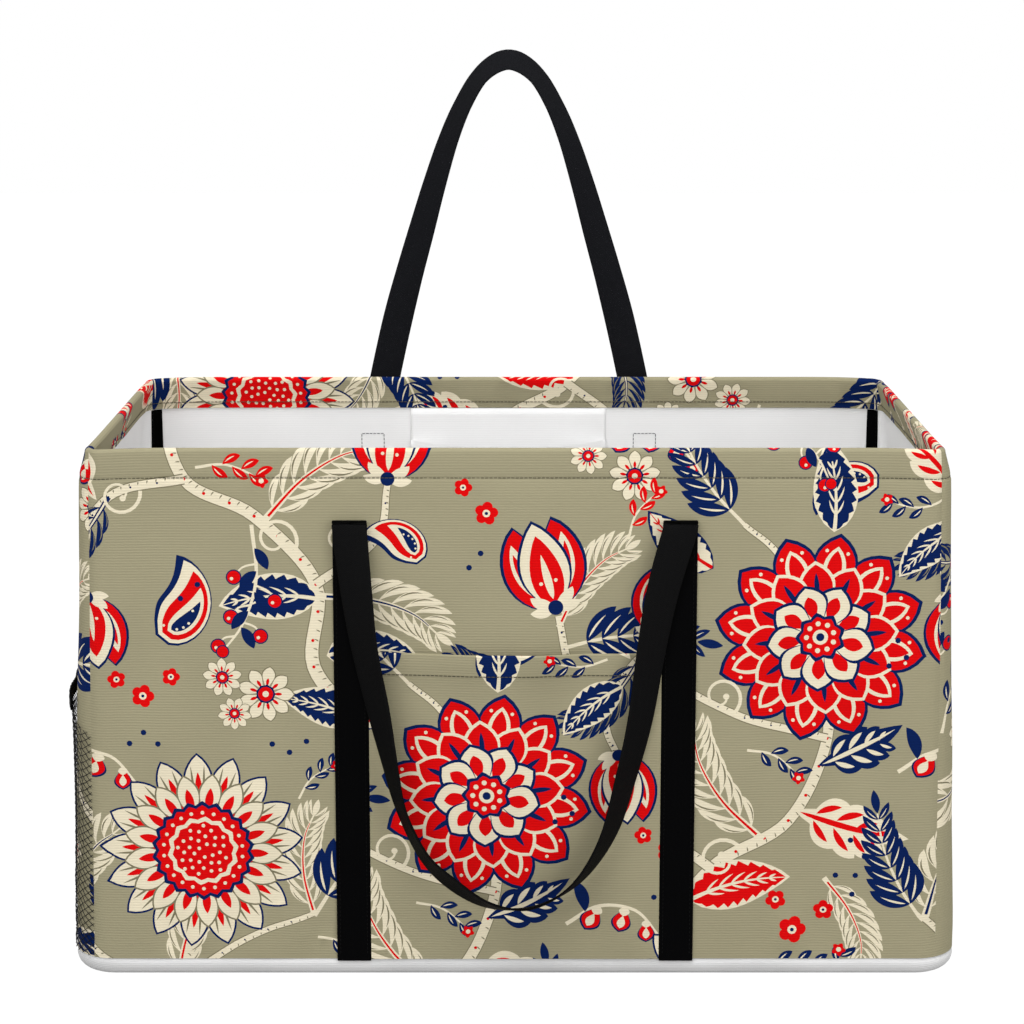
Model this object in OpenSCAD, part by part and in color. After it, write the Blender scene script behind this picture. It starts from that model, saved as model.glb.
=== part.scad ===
// Large utility tote of printed cloth: wired rim, white base with a loose board,
// webbing handles sewn down the front and back, a slip pocket on the front, a
// slip pocket inside the back and a net pocket on the left end.
// Millimetres, +Z up, the front faces -Y. Origin: centre of the base, on the floor.

/* [Body] */
// Outside width at the rim
rim_w = 610; // [520:1:700]
// Outside depth at the rim
rim_d = 305; // [250:1:360]
// Height of the rim above the floor
height = 381; // [330:1:430]
// Plan radius of the upright corners at the rim
corner_r = 20; // [20:0.5:30]
// How far each wall leans out from the rim down to the floor
flare = 11; // [0:0.5:12]
// Thickness of the cloth
cloth_t = 1.2; // [0.8:0.1:1.8]
// How far round each corner the front and back panels reach, degrees
seam_angle = 33; // [20:1:55]

/* [Hem and wire] */
// Depth of the stitch line below the rim
hem_stitch = 20.5; // [16:0.5:23]
// Depth of the folded edge inside
hem_fold = 25.5; // [24:0.5:36]
// Diameter of the rim wire
wire_d = 3.2; // [2:0.1:4.5]
// Play round the wire in the hem
wire_play = 0.2; // [0.1:0.05:0.5]

/* [Base] */
// Height of the seam between the walls and the base
base_band = 14; // [6:0.5:14.5]
// Radius of the bottom edge
base_r = 16; // [15:0.5:17]
// Thickness of the base cloth
base_t = 1.5; // [1:0.1:2]
// Thickness of the base board
board_t = 2.5; // [1.5:0.5:4]
// Play between the board and the rounded edge
board_play = 1; // [0.5:0.25:2]

/* [Webbing] */
// Width of the webbing
strap_w = 24; // [18:1:30]
// Thickness of the webbing
strap_t = 1.6; // [1:0.1:2.2]
// Distance between the two sewn runs, centre to centre
strap_gap = 228; // [190:1:270]
// Depth of the last stitches below the rim
strap_stop = 53; // [45:1:80]
// Clearance between sewn layers
seat = 0.15; // [0.1:0.05:0.3]

/* [Handles] */
// Drop of the front loop below its fold
front_drop = 275; // [200:1:285]
// Radius of the fold at the top of the front loop
fold_r = 3; // [2:0.25:5]
// Distance of the front loop from the panel at its lowest point
front_stand = 21.5; // [20.5:0.5:26]
// Twist of the front loop at its lowest point, degrees
front_twist = 62; // [30:1:66]
// Rise of the back arch above its last stitches
back_rise = 305; // [240:1:360]
// Twist of the back arch at its top, degrees
back_twist = 55; // [0:1:70]

/* [Front pocket] */
// Height of the pocket mouth above the floor
pocket_top = 238; // [150:1:260]
// Depth of the hem at the mouth
pocket_hem = 18; // [12:0.5:25]
// Slack at the middle of the mouth
pocket_slack = 10; // [6:0.5:12]

/* [Inner pocket] */
// Width of the pocket
inner_w = 162; // [120:1:180]
// Depth of the mouth below the rim
inner_mouth = 47; // [42:1:70]
// Height of the pocket below its mouth
inner_h = 150; // [100:1:180]
// Dip of the mouth at its middle
inner_dip = 3; // [0:0.5:10]
// Slack at the middle of the mouth
inner_slack = 12; // [7:0.5:14]

/* [Net pocket] */
// Height of the top of the net above the floor
mesh_top = 198; // [140:1:240]
// Slack at the middle of the mouth
mesh_slack = 12; // [8:1:16]
// Thickness of the net
mesh_t = 0.8; // [0.6:0.1:1.2]
// Part of each cell that is open
mesh_open = 0.8; // [0.6:0.02:0.88]
// Height of the elastic
elastic_h = 10; // [6:0.5:14]
// Thickness of the elastic
elastic_t = 2; // [1.4:0.1:2.6]

/* [Corner tape] */
// Thickness of the folded tape
tape_t = 1; // [0.6:0.1:1.6]

/* [Hidden] */
$fn = 64;

print_colour = "#a39c7f";
white = "#e6e6e6";
black = "#151516";
steel = "#9a9a9a";
board_colour = "#d8d4c8";

// The upright corners turn about axes at (+-cx, +-cy); offsets of the walls count from these axes
cx = rim_w / 2 - corner_r;
cy = rim_d / 2 - corner_r;
roll_r = wire_d / 2 + wire_play + cloth_t;
roll_z = height - roll_r;
roll_n = corner_r - roll_r;
stitch_z = height - hem_stitch;
fold_z = height - hem_fold;
strap_z = height - strap_stop;
strap_x = strap_gap / 2;

// Outer and inner face of the leaning wall at a height
function outer(z) = corner_r + flare * (1 - z / roll_z);
function inner(z) = outer(z) - cloth_t;
curl_n = outer(base_r) - base_r;
// Outer face with the rounded bottom edge
function face(z) = z >= base_r ? outer(z) : curl_n + sqrt(base_r ^ 2 - (base_r - z) ^ 2);

function unit(v) = v / norm(v);
function flat(list) = [for (row = list) each row];
function arc(c, r, from, to, n) = [for (k = [0 : n]) let (a = from + (to - from) * k / n) c + r * [cos(a), sin(a)]];

// Cross sections, drawn outward from the corner axes

module ring_part(r, t, low, high) {
    intersection() {
        difference() {
            circle(r);
            circle(r - t);
        }
        translate([0, low]) square([r + 1, high - low]);
    }
}

// Wall with its curled lower edge and its hem, which closes round the wire channel
module wall_section() {
    curl = asin((base_r - base_band) / base_r);
    difference() {
        polygon(concat(arc([curl_n, base_r], base_r, -curl, 0, 4), arc([roll_n, roll_z], roll_r, 0, 180, 12),
            [[inner(stitch_z) - cloth_t, stitch_z], [inner(fold_z) - cloth_t, fold_z], [inner(fold_z), fold_z]],
            arc([curl_n, base_r], base_r - cloth_t, 0, -curl, 4)));
        polygon(concat([[inner(stitch_z), stitch_z]], arc([roll_n, roll_z], roll_r - cloth_t, 0, 180, 12)));
    }
}

module base_section() {
    translate([curl_n, base_r]) ring_part(base_r, base_t, -base_r, base_band - base_r);
    square([curl_n, base_t]);
}

module tape_section() {
    low = base_r + 4;
    high = fold_z - 0.5;
    polygon([[inner(low) - tape_t, low], [inner(low), low], [inner(high), high], [inner(high) - tape_t, high]]);
}

// A cross section carried along a wall whose outward side is +X, and round a corner

module run(length) {
    rotate([90, 0, 0]) linear_extrude(length, center = true) children();
}

module turn(from, to) {
    rotate([0, 0, from]) rotate_extrude(angle = to - from) children();
}

module around() {
    for (s = [0, 180]) rotate([0, 0, s]) {
        translate([cx, 0, 0]) run(2 * cy) children();
        rotate([0, 0, 90]) translate([cy, 0, 0]) run(2 * cx) children();
        translate([cx, cy, 0]) turn(0, 90) children();
        translate([-cx, cy, 0]) turn(90, 180) children();
    }
}

// Soft sheets: two grids of points, one for each face

module sheet(a, b) {
    rows = len(a);
    cols = len(a[0]);
    n = rows * cols;
    function id(i, j) = i * cols + j;
    edge = concat([for (j = [0 : cols - 2]) id(0, j)], [for (i = [0 : rows - 2]) id(i, cols - 1)],
        [for (j = [cols - 1 : -1 : 1]) id(rows - 1, j)], [for (i = [rows - 1 : -1 : 1]) id(i, 0)]);
    faces = concat(
        [for (i = [0 : rows - 2], j = [0 : cols - 2]) each [
            [id(i, j), id(i + 1, j + 1), id(i + 1, j)], [id(i, j), id(i, j + 1), id(i + 1, j + 1)],
            [n + id(i, j), n + id(i + 1, j), n + id(i + 1, j + 1)],
            [n + id(i, j), n + id(i + 1, j + 1), n + id(i, j + 1)]]],
        [for (k = [0 : len(edge) - 1]) let (p = edge[k], q = edge[(k + 1) % len(edge)]) each [
            [p, n + q, q], [p, n + p, n + q]]]);
    polyhedron(concat(flat(a), flat(b)), faces);
}

// Webbing: rings of four corners along a path
module ribbon(rings) {
    n = len(rings);
    faces = concat([[0, 2, 1], [0, 3, 2]],
        [for (i = [0 : n - 2], k = [0 : 3]) let (p = 4 * i + k, q = 4 * i + (k + 1) % 4) each [
            [p, q + 4, p + 4], [p, q, q + 4]]],
        [[4 * n - 4, 4 * n - 3, 4 * n - 2], [4 * n - 4, 4 * n - 2, 4 * n - 1]]);
    polyhedron(flat(rings), faces);
}

// One ring: centre, direction of travel, direction of the face, twist about the travel
function ring(c, t, f, twist) =
    let (f0 = unit(f - t * (f * t)), w0 = cross(t, f0),
        f1 = f0 * cos(twist) + w0 * sin(twist), w1 = w0 * cos(twist) - f0 * sin(twist),
        w = w1 * strap_w / 2, h = f1 * strap_t / 2)
    [c - w - h, c + w - h, c + w + h, c - w + h];

// Sewn run on a wall, from the base seam to the last stitches; side is -1 at the front, 1 at the back
strap_lift = seat + strap_t / 2;
function strap_y(z) = cy + face(z) + strap_lift;
sewn_z = [base_band, base_band + (base_r - base_band) / 3, base_band + (base_r - base_band) * 2 / 3,
    base_r, strap_z];
function sewn_t(z) = z > base_r ? [0, 0, 1] : unit([0, strap_y(z + 0.1) - strap_y(z - 0.1), 0.2]);
function sewn_ring(x, z, side, up) =
    let (t = sewn_t(z), d = [0, side * t.y, t.z])
    ring([x, side * strap_y(z), z], d * up, [0, side, 0], 0);

// Front loop: half an ellipse that hangs from the folds
front_y = strap_y(strap_z) + 2 * fold_r;
function front_at(a) = [-strap_x * cos(a), -front_y - (front_stand - 2 * fold_r) * sin(a) ^ 2,
    strap_z - front_drop * sin(a)];
// Back loop: a standing arch, nearly a parabola, drawn in a little at half its height
arch_draw = 0.09;
function back_at(a) = [-strap_x * cos(a) * (1 - arch_draw * sin(2 * a) ^ 2), strap_y(strap_z),
    strap_z + back_rise * sin(a) ^ 1.92];
// The arch turns its face upwards from above the rim to its top
function back_turn(a) = let (t = max(0, (sin(a) - 0.45) / 0.55)) back_twist * t * t * (3 - 2 * t);

front_steps = 44;
back_steps = 44;
fold_steps = 6;

module front_handle() {
    left = [for (z = sewn_z) sewn_ring(-strap_x, z, -1, 1)];
    fold = [for (k = [1 : fold_steps - 1]) let (a = 180 * k / fold_steps)
        ring([-strap_x, -front_y + fold_r * (1 + cos(a)), strap_z + fold_r * sin(a)],
            [0, -sin(a), cos(a)], [0, -cos(a), -sin(a)], 0)];
    loop = [for (k = [0 : front_steps]) let (a = 180 * k / front_steps,
            t = unit(front_at(min(a + 0.5, 180)) - front_at(max(a - 0.5, 0))))
        ring(front_at(a), t, [0, 1, 0], front_twist * sin(a) ^ 3)];
    back = [for (k = [fold_steps - 1 : -1 : 1]) let (a = 180 * k / fold_steps)
        ring([strap_x, -front_y + fold_r * (1 + cos(a)), strap_z + fold_r * sin(a)],
            [0, sin(a), -cos(a)], [0, -cos(a), -sin(a)], 0)];
    right = [for (k = [len(sewn_z) - 1 : -1 : 0]) sewn_ring(strap_x, sewn_z[k], -1, -1)];
    color(black) ribbon(concat(left, fold, loop, back, right));
}

module back_handle() {
    left = [for (z = sewn_z) sewn_ring(-strap_x, z, 1, 1)];
    loop = [for (k = [3 : back_steps - 3]) let (a = 180 * k / back_steps,
            t = unit(back_at(a + 0.5) - back_at(a - 0.5)))
        ring(back_at(a), t, [0, 1, 0], back_turn(a))];
    right = [for (k = [len(sewn_z) - 1 : -1 : 0]) sewn_ring(strap_x, sewn_z[k], 1, -1)];
    color(black) ribbon(concat(left, loop, right));
}

// Panels

module long_panel() {
    rotate([0, 0, 90]) {
        translate([cy, 0, 0]) run(2 * cx) wall_section();
        for (s = [0, 1]) mirror([0, s, 0]) translate([cy, cx, 0]) turn(0, seam_angle) wall_section();
    }
}

module end_panel() {
    translate([cx, 0, 0]) run(2 * cy) wall_section();
    for (s = [0, 1]) mirror([0, s, 0]) translate([cx, cy, 0]) turn(0, 90 - seam_angle) wall_section();
}

module front_panel() {
    color(print_colour) rotate([0, 0, 180]) long_panel();
}

module back_panel() {
    color(print_colour) long_panel();
}

module left_panel() {
    color(print_colour) rotate([0, 0, 180]) end_panel();
}

module right_panel() {
    color(print_colour) end_panel();
}

module base_panel() {
    color(white) {
        around() base_section();
        translate([-cx, -cy, 0]) cube([2 * cx, 2 * cy, base_t]);
    }
}

module base_board() {
    color(board_colour) translate([0, 0, base_t]) {
        around() square([curl_n - board_play, board_t]);
        translate([-cx, -cy, 0]) cube([2 * cx, 2 * cy, board_t]);
    }
}

module rim_wire() {
    color(steel) around() translate([roll_n, roll_z]) circle(wire_d / 2);
}

// Pockets

// Front pocket: sewn along both webbings and the base seam, open at the top
module front_pocket() {
    half = strap_gap / 2 - strap_w / 2 - seat;
    hem_low = pocket_top - pocket_hem;
    rows = concat([[base_band, 1], [(base_band + base_r) / 2, 1]],
        [for (f = [0, 0.2, 0.45, 0.7, 0.86, 1]) [base_r + f * (hem_low - base_r), 1]],
        [[hem_low + cloth_t / 2, 2], [pocket_top, 2]]);
    cols = 14;
    function slack(u, z) = pocket_slack * (1 - u ^ 2) ^ 2 * (max(0, z - base_r) / (pocket_top - base_r)) ^ 1.6;
    function at(j, z, lift) = let (u = 2 * j / cols - 1)
        [u * half, -(cy + face(z) + seat + slack(u, z) + lift), z];
    color(print_colour) sheet([for (r = rows) [for (j = [0 : cols]) at(j, r[0], 0)]],
        [for (r = rows) [for (j = [0 : cols]) at(j, r[0], cloth_t * r[1])]]);
}

// Inner pocket: a backing from the hem down and a slack front sewn to it along three edges
module inner_pocket() {
    back_t = 1;
    front_t = 1;
    sewn = 5;
    top = fold_z - 0.5;
    mouth = height - inner_mouth;
    low = mouth - inner_h;
    half = inner_w / 2;
    cols = 12;
    rows = 7;
    us = concat([-half], [for (j = [0 : cols]) (half - sewn) * (2 * j / cols - 1)], [half]);
    vs = concat([0], [for (i = [0 : rows]) sewn + (inner_h - sewn) * i / rows]);
    function slack(x, v) = let (u = min(1, abs(x) / (half - sewn)))
        inner_slack * (1 - u ^ 2) ^ 2 * (max(0, v - sewn) / (inner_h - sewn)) ^ 1.6;
    function y(z) = cy + inner(z) - back_t;
    function at(x, v, lift) = let (z = low + v - inner_dip * max(0, 1 - (x / half) ^ 2) * v / inner_h)
        [x, y(z) - slack(x, v) - lift, z];
    color(white) {
        rotate([90, 0, 90]) linear_extrude(inner_w, center = true)
            polygon([[y(low), low], [y(low) + back_t, low], [y(top) + back_t, top], [y(top), top]]);
        sheet([for (v = vs) [for (x = us) at(x, v, -back_t / 2)]], [for (v = vs) [for (x = us) at(x, v, front_t)]]);
    }
}

// Net pocket: stations round the left end from seam to seam, each an axis and a direction
turn_cols = 3;
end_cols = 9;
turn_step = (90 - seam_angle) / turn_cols;
// Straight stretches between the stations stay outside the round corner
clear = 1 / cos(turn_step / 2);
stations = concat(
    [for (k = [0 : turn_cols - 1]) let (a = seam_angle + k * turn_step)
        [-cx, -cy, -sin(a) * clear, -cos(a) * clear]],
    [for (k = [0 : end_cols]) [-cx, -cy + 2 * cy * k / end_cols, -clear, 0]],
    [for (k = [1 : turn_cols]) let (a = 90 - k * turn_step) [-cx, cy, -sin(a) * clear, cos(a) * clear]]);
net_cols = len(stations) - 1;
net_rows = 8;
function mesh_gap(j, z) = seat + mesh_slack * sin(180 * j / net_cols) ^ 0.4
    * (max(0, z - base_r) / (mesh_top - base_r)) ^ 1.3;
// A point on the net: column, height, distance beyond its inner face
function mesh_at(j, z, lift) =
    let (a = floor(j), b = min(a + 1, net_cols), f = j - a,
        sa = stations[a], sb = stations[b],
        na = face(z) + mesh_gap(a, z) + lift, nb = face(z) + mesh_gap(b, z) + lift)
    [for (m = [0, 1]) (sa[m] + sa[m + 2] * na) * (1 - f) + (sb[m] + sb[m + 2] * nb) * f];
function mesh_point(j, z, lift) = let (p = mesh_at(j, z, lift)) [p.x, p.y, z];

module mesh_pocket() {
    pitch = (mesh_top - base_r) / net_rows;
    color(black) net(concat([base_band, (base_band + base_r) / 2], [for (i = [0 : net_rows]) base_r + i * pitch]), 2);
}

// Two layers of cells with a four-cornered opening; the first rows are plain
module net(levels, plain) {
    rows = len(levels) - 1;
    cols = net_cols;
    h = mesh_open / 2;
    cell = [[0.5 - h, 0.5], [0.5, 0.5 + h], [0.5 + h, 0.5], [0.5, 0.5 - h]];
    knots = [for (z = levels, j = [0 : cols]) [j, z]];
    holes = [for (i = [plain : rows - 1], j = [0 : cols - 1], c = cell)
        [j + c.x, levels[i] + c.y * (levels[i + 1] - levels[i])]];
    spots = concat(knots, holes);
    n = len(spots);
    function id(i, j) = i * (cols + 1) + j;
    function hole(i, j, k) = len(knots) + 4 * ((i - plain) * cols + j) + k % 4;
    edge = concat([for (j = [0 : cols - 1]) id(0, j)], [for (i = [0 : rows - 1]) id(i, cols)],
        [for (j = [cols : -1 : 1]) id(rows, j)], [for (i = [rows : -1 : 1]) id(i, 0)]);
    tris = [for (i = [0 : rows - 1], j = [0 : cols - 1])
        let (c = [id(i, j), id(i + 1, j), id(i + 1, j + 1), id(i, j + 1)])
        each i < plain ? [[c[0], c[1], c[2]], [c[0], c[2], c[3]]]
            : [for (k = [0 : 3]) each [[c[k], c[(k + 1) % 4], hole(i, j, k)],
                [c[(k + 1) % 4], hole(i, j, k + 1), hole(i, j, k)]]]];
    rims = concat([for (k = [0 : len(edge) - 1]) [edge[k], edge[(k + 1) % len(edge)]]],
        [for (i = [plain : rows - 1], j = [0 : cols - 1], k = [0 : 3]) [hole(i, j, k), hole(i, j, k + 1)]]);
    faces = concat(tris, [for (t = tris) [n + t[0], n + t[2], n + t[1]]],
        [for (r = rims) each [[r[0], r[1], n + r[1]], [r[0], n + r[1], n + r[0]]]]);
    polyhedron(concat([for (s = spots) mesh_point(s.x, s.y, 0)], [for (s = spots) mesh_point(s.x, s.y, mesh_t)]),
        faces);
}

module mesh_elastic() {
    levels = [mesh_top, mesh_top + elastic_h];
    color(black) sheet(
        [for (z = levels) [for (j = [net_cols : -1 : 0]) let (p = mesh_at(j, mesh_top, 0)) [p.x, p.y, z]]],
        [for (z = levels) [for (j = [net_cols : -1 : 0]) let (p = mesh_at(j, mesh_top, elastic_t)) [p.x, p.y, z]]]);
}

// Tape on the inside of an upright seam, between the seam and the flat of the long panel
module corner_tape() {
    color(black) translate([cx, cy, 0]) turn(90 - seam_angle, 90) tape_section();
}

module corner_tape_back_right() {
    corner_tape();
}

module corner_tape_back_left() {
    mirror([1, 0, 0]) corner_tape();
}

module corner_tape_front_right() {
    mirror([0, 1, 0]) corner_tape();
}

module corner_tape_front_left() {
    rotate([0, 0, 180]) corner_tape();
}

front_panel();
back_panel();
left_panel();
right_panel();
base_panel();
base_board();
rim_wire();
front_handle();
back_handle();
front_pocket();
inner_pocket();
mesh_pocket();
mesh_elastic();
corner_tape_front_left();
corner_tape_front_right();
corner_tape_back_left();
corner_tape_back_right();
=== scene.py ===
import math
import bmesh
import bpy
import numpy as np
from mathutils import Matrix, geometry


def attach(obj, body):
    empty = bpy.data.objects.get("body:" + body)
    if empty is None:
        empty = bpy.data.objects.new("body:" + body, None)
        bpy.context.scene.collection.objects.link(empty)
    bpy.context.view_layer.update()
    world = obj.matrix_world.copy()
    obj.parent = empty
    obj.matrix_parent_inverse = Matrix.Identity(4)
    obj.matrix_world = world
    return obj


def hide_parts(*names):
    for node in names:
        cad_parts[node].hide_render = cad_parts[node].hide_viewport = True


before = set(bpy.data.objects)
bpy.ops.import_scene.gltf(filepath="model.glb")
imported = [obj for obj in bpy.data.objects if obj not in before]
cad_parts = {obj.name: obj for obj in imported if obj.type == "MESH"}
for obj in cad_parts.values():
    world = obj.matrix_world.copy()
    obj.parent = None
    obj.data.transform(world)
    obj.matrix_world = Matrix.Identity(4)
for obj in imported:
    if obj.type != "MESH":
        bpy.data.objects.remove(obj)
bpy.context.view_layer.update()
scene = bpy.context.scene
scene.view_settings.view_transform = "Standard"
mm = 0.001
print("frame loaded:", len(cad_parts), "nodes")

# Sizes of the bag, in metres and degrees
bag = dict(width=0.610, depth=0.305, height=0.381, cornerR=0.020, flare=0.011, clothT=0.0012, seamAngle=28,
    hemStitch=0.0205, hemFold=0.0255, wireD=0.0032, wirePlay=0.0002, baseBand=0.014, baseR=0.010, baseT=0.0015)
# Webbing: its section, the gaps between its sewn runs, the slide of the back ones, and their stop below the rim
webbing = dict(width=0.024, thick=0.0016, gap=0.228, backGap=0.220, backSlide=0.0048, stop=0.053, seat=0.00015)
# Softness of the cloth: how far it moves from the plain shape, and where
soft = dict(seed=23, belly=0.0022, endBelly=0.0004, sideReach=0.8, endReach=0.9, freeLow=0.012, freeEnds=0.03,
    waves=9, wave=0.00042, waveCounts=(8, 46), waveLean=70, cornerReach=0.03, cornerCalm=0.75, sewnReach=0.021,
    sewnCalm=0.94, buckle=0.0008, buckles=(31, 47), buckleZ=0.034, buckleHigh=0.017, buckleFrom=0.012,
    pucker=0.00022, puckers=157, puckerHigh=0.006, crease=0.0006, creaseHigh=0.0012, groove=0.0007,
    grooveWide=0.0016, grooveFrom=0.02, endIn=0.0073, shoulder=0.014, shoulderCalm=0.28, lean=0.09, leanPower=1.7,
    topBelow=0.005, waist=0.0028, waistZ=0.30, waistHigh=0.15, cornerDrop=0.0015, dropHigh=0.10)

axisX, axisY = bag["width"] / 2 - bag["cornerR"], bag["depth"] / 2 - bag["cornerR"]
rollR = bag["wireD"] / 2 + bag["wirePlay"] + bag["clothT"]
rollZ, rollN = bag["height"] - rollR, bag["cornerR"] - rollR
stitchZ, foldZ = bag["height"] - bag["hemStitch"], bag["height"] - bag["hemFold"]
arcLength = math.pi / 2 * bag["cornerR"]
seamReach = arcLength * bag["seamAngle"] / 90
# Distance round the bag at the ends of its straights and corners, from the middle of the front towards +X
stretches = np.cumsum([0, axisX, arcLength, 2 * axisY, arcLength, 2 * axisX, arcLength, 2 * axisY, arcLength, axisX])
girth = stretches[-1]
axisXs = np.array([0, 1, 1, 1, 1, -1, -1, -1, -1, 0]) * axisX
axisYs = np.array([-1, -1, -1, 1, 1, 1, 1, -1, -1, -1]) * axisY
facings = np.radians([-90, -90, 0, 0, 90, 90, 180, 180, 270, 270])
backMid, rightMid = girth / 2, axisX + arcLength + axisY
leftMid = girth - rightMid
cornerMids = [axisX + arcLength / 2, backMid - axisX - arcLength / 2, backMid + axisX + arcLength / 2,
    girth - axisX - arcLength / 2]
seams = [axisX + seamReach, backMid - axisX - seamReach, backMid + axisX + seamReach, girth - axisX - seamReach]
frontStraps = [webbing["gap"] / 2, -webbing["gap"] / 2]
backStraps = [backMid + side * webbing["backGap"] / 2 + webbing["backSlide"] for side in (1, -1)]


# axis point and outward direction at distance s round the bag: straights keep the direction, corners keep the axis
def plan(s):
    s = np.mod(s, girth)
    facing = np.interp(s, stretches, facings)
    return np.interp(s, stretches, axisXs), np.interp(s, stretches, axisYs), np.cos(facing), np.sin(facing)


# outward direction at places round the bag
def outwardAt(s):
    _, _, dx, dy = plan(s)
    return np.stack([dx, dy, 0 * dx], -1)


# 1 at a place round the bag, falling off as a bell of the given width; a higher power makes its top flatter
def near(s, place, width, power=2):
    away = np.mod(s - place + girth / 2, girth) - girth / 2
    return np.exp(-abs(away / width) ** power)


# a wave with a whole number of crests round the bag
def roundWave(s, count, phase=0.0):
    return np.sin(2 * np.pi * s / (girth / count) + phase)


# 0 to 1 with level ends: 3 t squared less 2 t cubed
def ease(t):
    t = np.clip(t, 0, 1)
    return t * t * (3 - 2 * t)


# outer face of the leaning wall, and its reverse
def outer(z):
    return bag["cornerR"] + bag["flare"] * (1 - z / rollZ)


def inner(z):
    return outer(z) - bag["clothT"]


curlN = outer(bag["baseR"]) - bag["baseR"]


# outer face with the rounded lower edge: a quarter circle under the wall
def faceOut(z):
    low = curlN + np.sqrt(np.maximum(bag["baseR"] ** 2 - (bag["baseR"] - np.minimum(z, bag["baseR"])) ** 2, 0))
    return np.where(z >= bag["baseR"], outer(z), low)


softDraw = np.random.default_rng(soft["seed"])
waveTurns = softDraw.integers(*soft["waveCounts"], soft["waves"]) * 2 * np.pi / girth
waveRise = softDraw.uniform(-soft["waveLean"], soft["waveLean"], soft["waves"])
wavePhase = softDraw.uniform(0, 2 * np.pi, soft["waves"])


# outward movement of the cloth: belly, long waves, buckles over the base, puckers along the hem, grooves at seams;
# the ends are a little waisted and lean in at the rim, over a short shoulder at the front corners
def sag(s, z):
    high = bag["height"]
    free = np.sin(np.pi * np.clip((z - soft["freeLow"]) / (high - soft["freeEnds"]), 0, 1))
    ends = sum(near(s, c, axisY * soft["endReach"]) for c in (rightMid, leftMid))
    sides = sum(near(s, c, axisX * soft["sideReach"]) for c in (0, backMid))
    move = free * (soft["belly"] * sides + soft["endBelly"] * ends)
    calm = (1 - soft["cornerCalm"] * sum(near(s, c, soft["cornerReach"]) for c in cornerMids)
        - soft["sewnCalm"] * sum(near(s, c, soft["sewnReach"], 4) for c in frontStraps + backStraps))
    for turns, rise, phase in zip(waveTurns, waveRise, wavePhase):
        move = move + free * calm * soft["wave"] * np.sin(turns * s + rise * z + phase)
    overBase = z - bag["baseBand"]
    lowBand = np.exp(-((z - soft["buckleZ"]) / soft["buckleHigh"]) ** 2) * ease(overBase / soft["buckleFrom"])
    buckles = roundWave(s, soft["buckles"][0]) + roundWave(s, soft["buckles"][1], 1)
    move = move + calm * lowBand * soft["buckle"] * buckles
    nearHem = np.exp(-abs(z - stitchZ) / soft["puckerHigh"])
    move = move + soft["pucker"] * nearHem * roundWave(s, soft["puckers"])
    move = move - soft["crease"] * np.exp(-((z - stitchZ) / soft["creaseHigh"]) ** 2)
    for place in seams:
        move = move - soft["groove"] * near(s, place, soft["grooveWide"]) * ease(overBase / soft["grooveFrom"])
    front = near(s, cornerMids[0], soft["cornerReach"]) + near(s, cornerMids[3], soft["cornerReach"])
    reach = soft["lean"] + (soft["shoulder"] - soft["lean"]) * front
    top = high - soft["topBelow"]
    rise = np.clip((np.minimum(z, top) - top) / reach + 1, 0, 1)
    waist = soft["waist"] * np.exp(-((z - soft["waistZ"]) / soft["waistHigh"]) ** 2)
    lean = soft["endIn"] * (1 - soft["shoulderCalm"] * front) * rise ** soft["leanPower"]
    return move - plan(s)[2] ** 2 * (waist + lean)


# how far the rim sinks at the corners, fading downwards
def drop(s, z):
    fade = ease((z - bag["height"] + soft["dropHigh"]) / soft["dropHigh"])
    return soft["cornerDrop"] * sum(near(s, c, soft["cornerReach"]) for c in cornerMids) * fade


# a point n outward from the corner axes at height z, moved as the cloth moves there
def wallAt(s, n, z):
    x, y, dx, dy = plan(s)
    n = n + sag(s, z)
    return np.stack(np.broadcast_arrays(x + dx * n, y + dy * n, z - drop(s, z)), -1)


# points of an arc about (n, z), from one angle to another in degrees
def arcOf(n, z, r, start, end, count):
    a = np.radians(np.linspace(start, end, count))
    return np.stack([n + r * np.cos(a), z + r * np.sin(a)], -1)


# places along a line of points, by distance
def lengthsOf(points):
    return np.append(0, np.cumsum(np.linalg.norm(np.diff(points, axis=0), axis=1)))


# quads between neighbouring rows and columns of a grid; closed joins the last column to the first
def gridFaces(rows, cols, closed=False):
    i, j = np.meshgrid(np.arange(rows - 1), np.arange(cols if closed else cols - 1), indexing="ij")
    k = (j + 1) % cols
    return np.stack([i * cols + j, i * cols + k, (i + 1) * cols + k, (i + 1) * cols + j], -1).reshape(-1, 4)


# several (points, faces, uv) lists as one
def joined(parts):
    starts = np.cumsum([0] + [len(p[0]) for p in parts[:-1]])
    return (np.concatenate([p[0] for p in parts]), np.concatenate([p[1] + k for p, k in zip(parts, starts)]),
        np.concatenate([p[2] for p in parts]))


# a grid of points as one part: uv gives metres along the two directions
def gridPart(points, uv, closed=False):
    rows, cols = points.shape[:2]
    return points.reshape(-1, 3), gridFaces(rows, cols, closed), np.broadcast_to(uv, (rows, cols, 2)).reshape(-1, 2)


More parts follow.
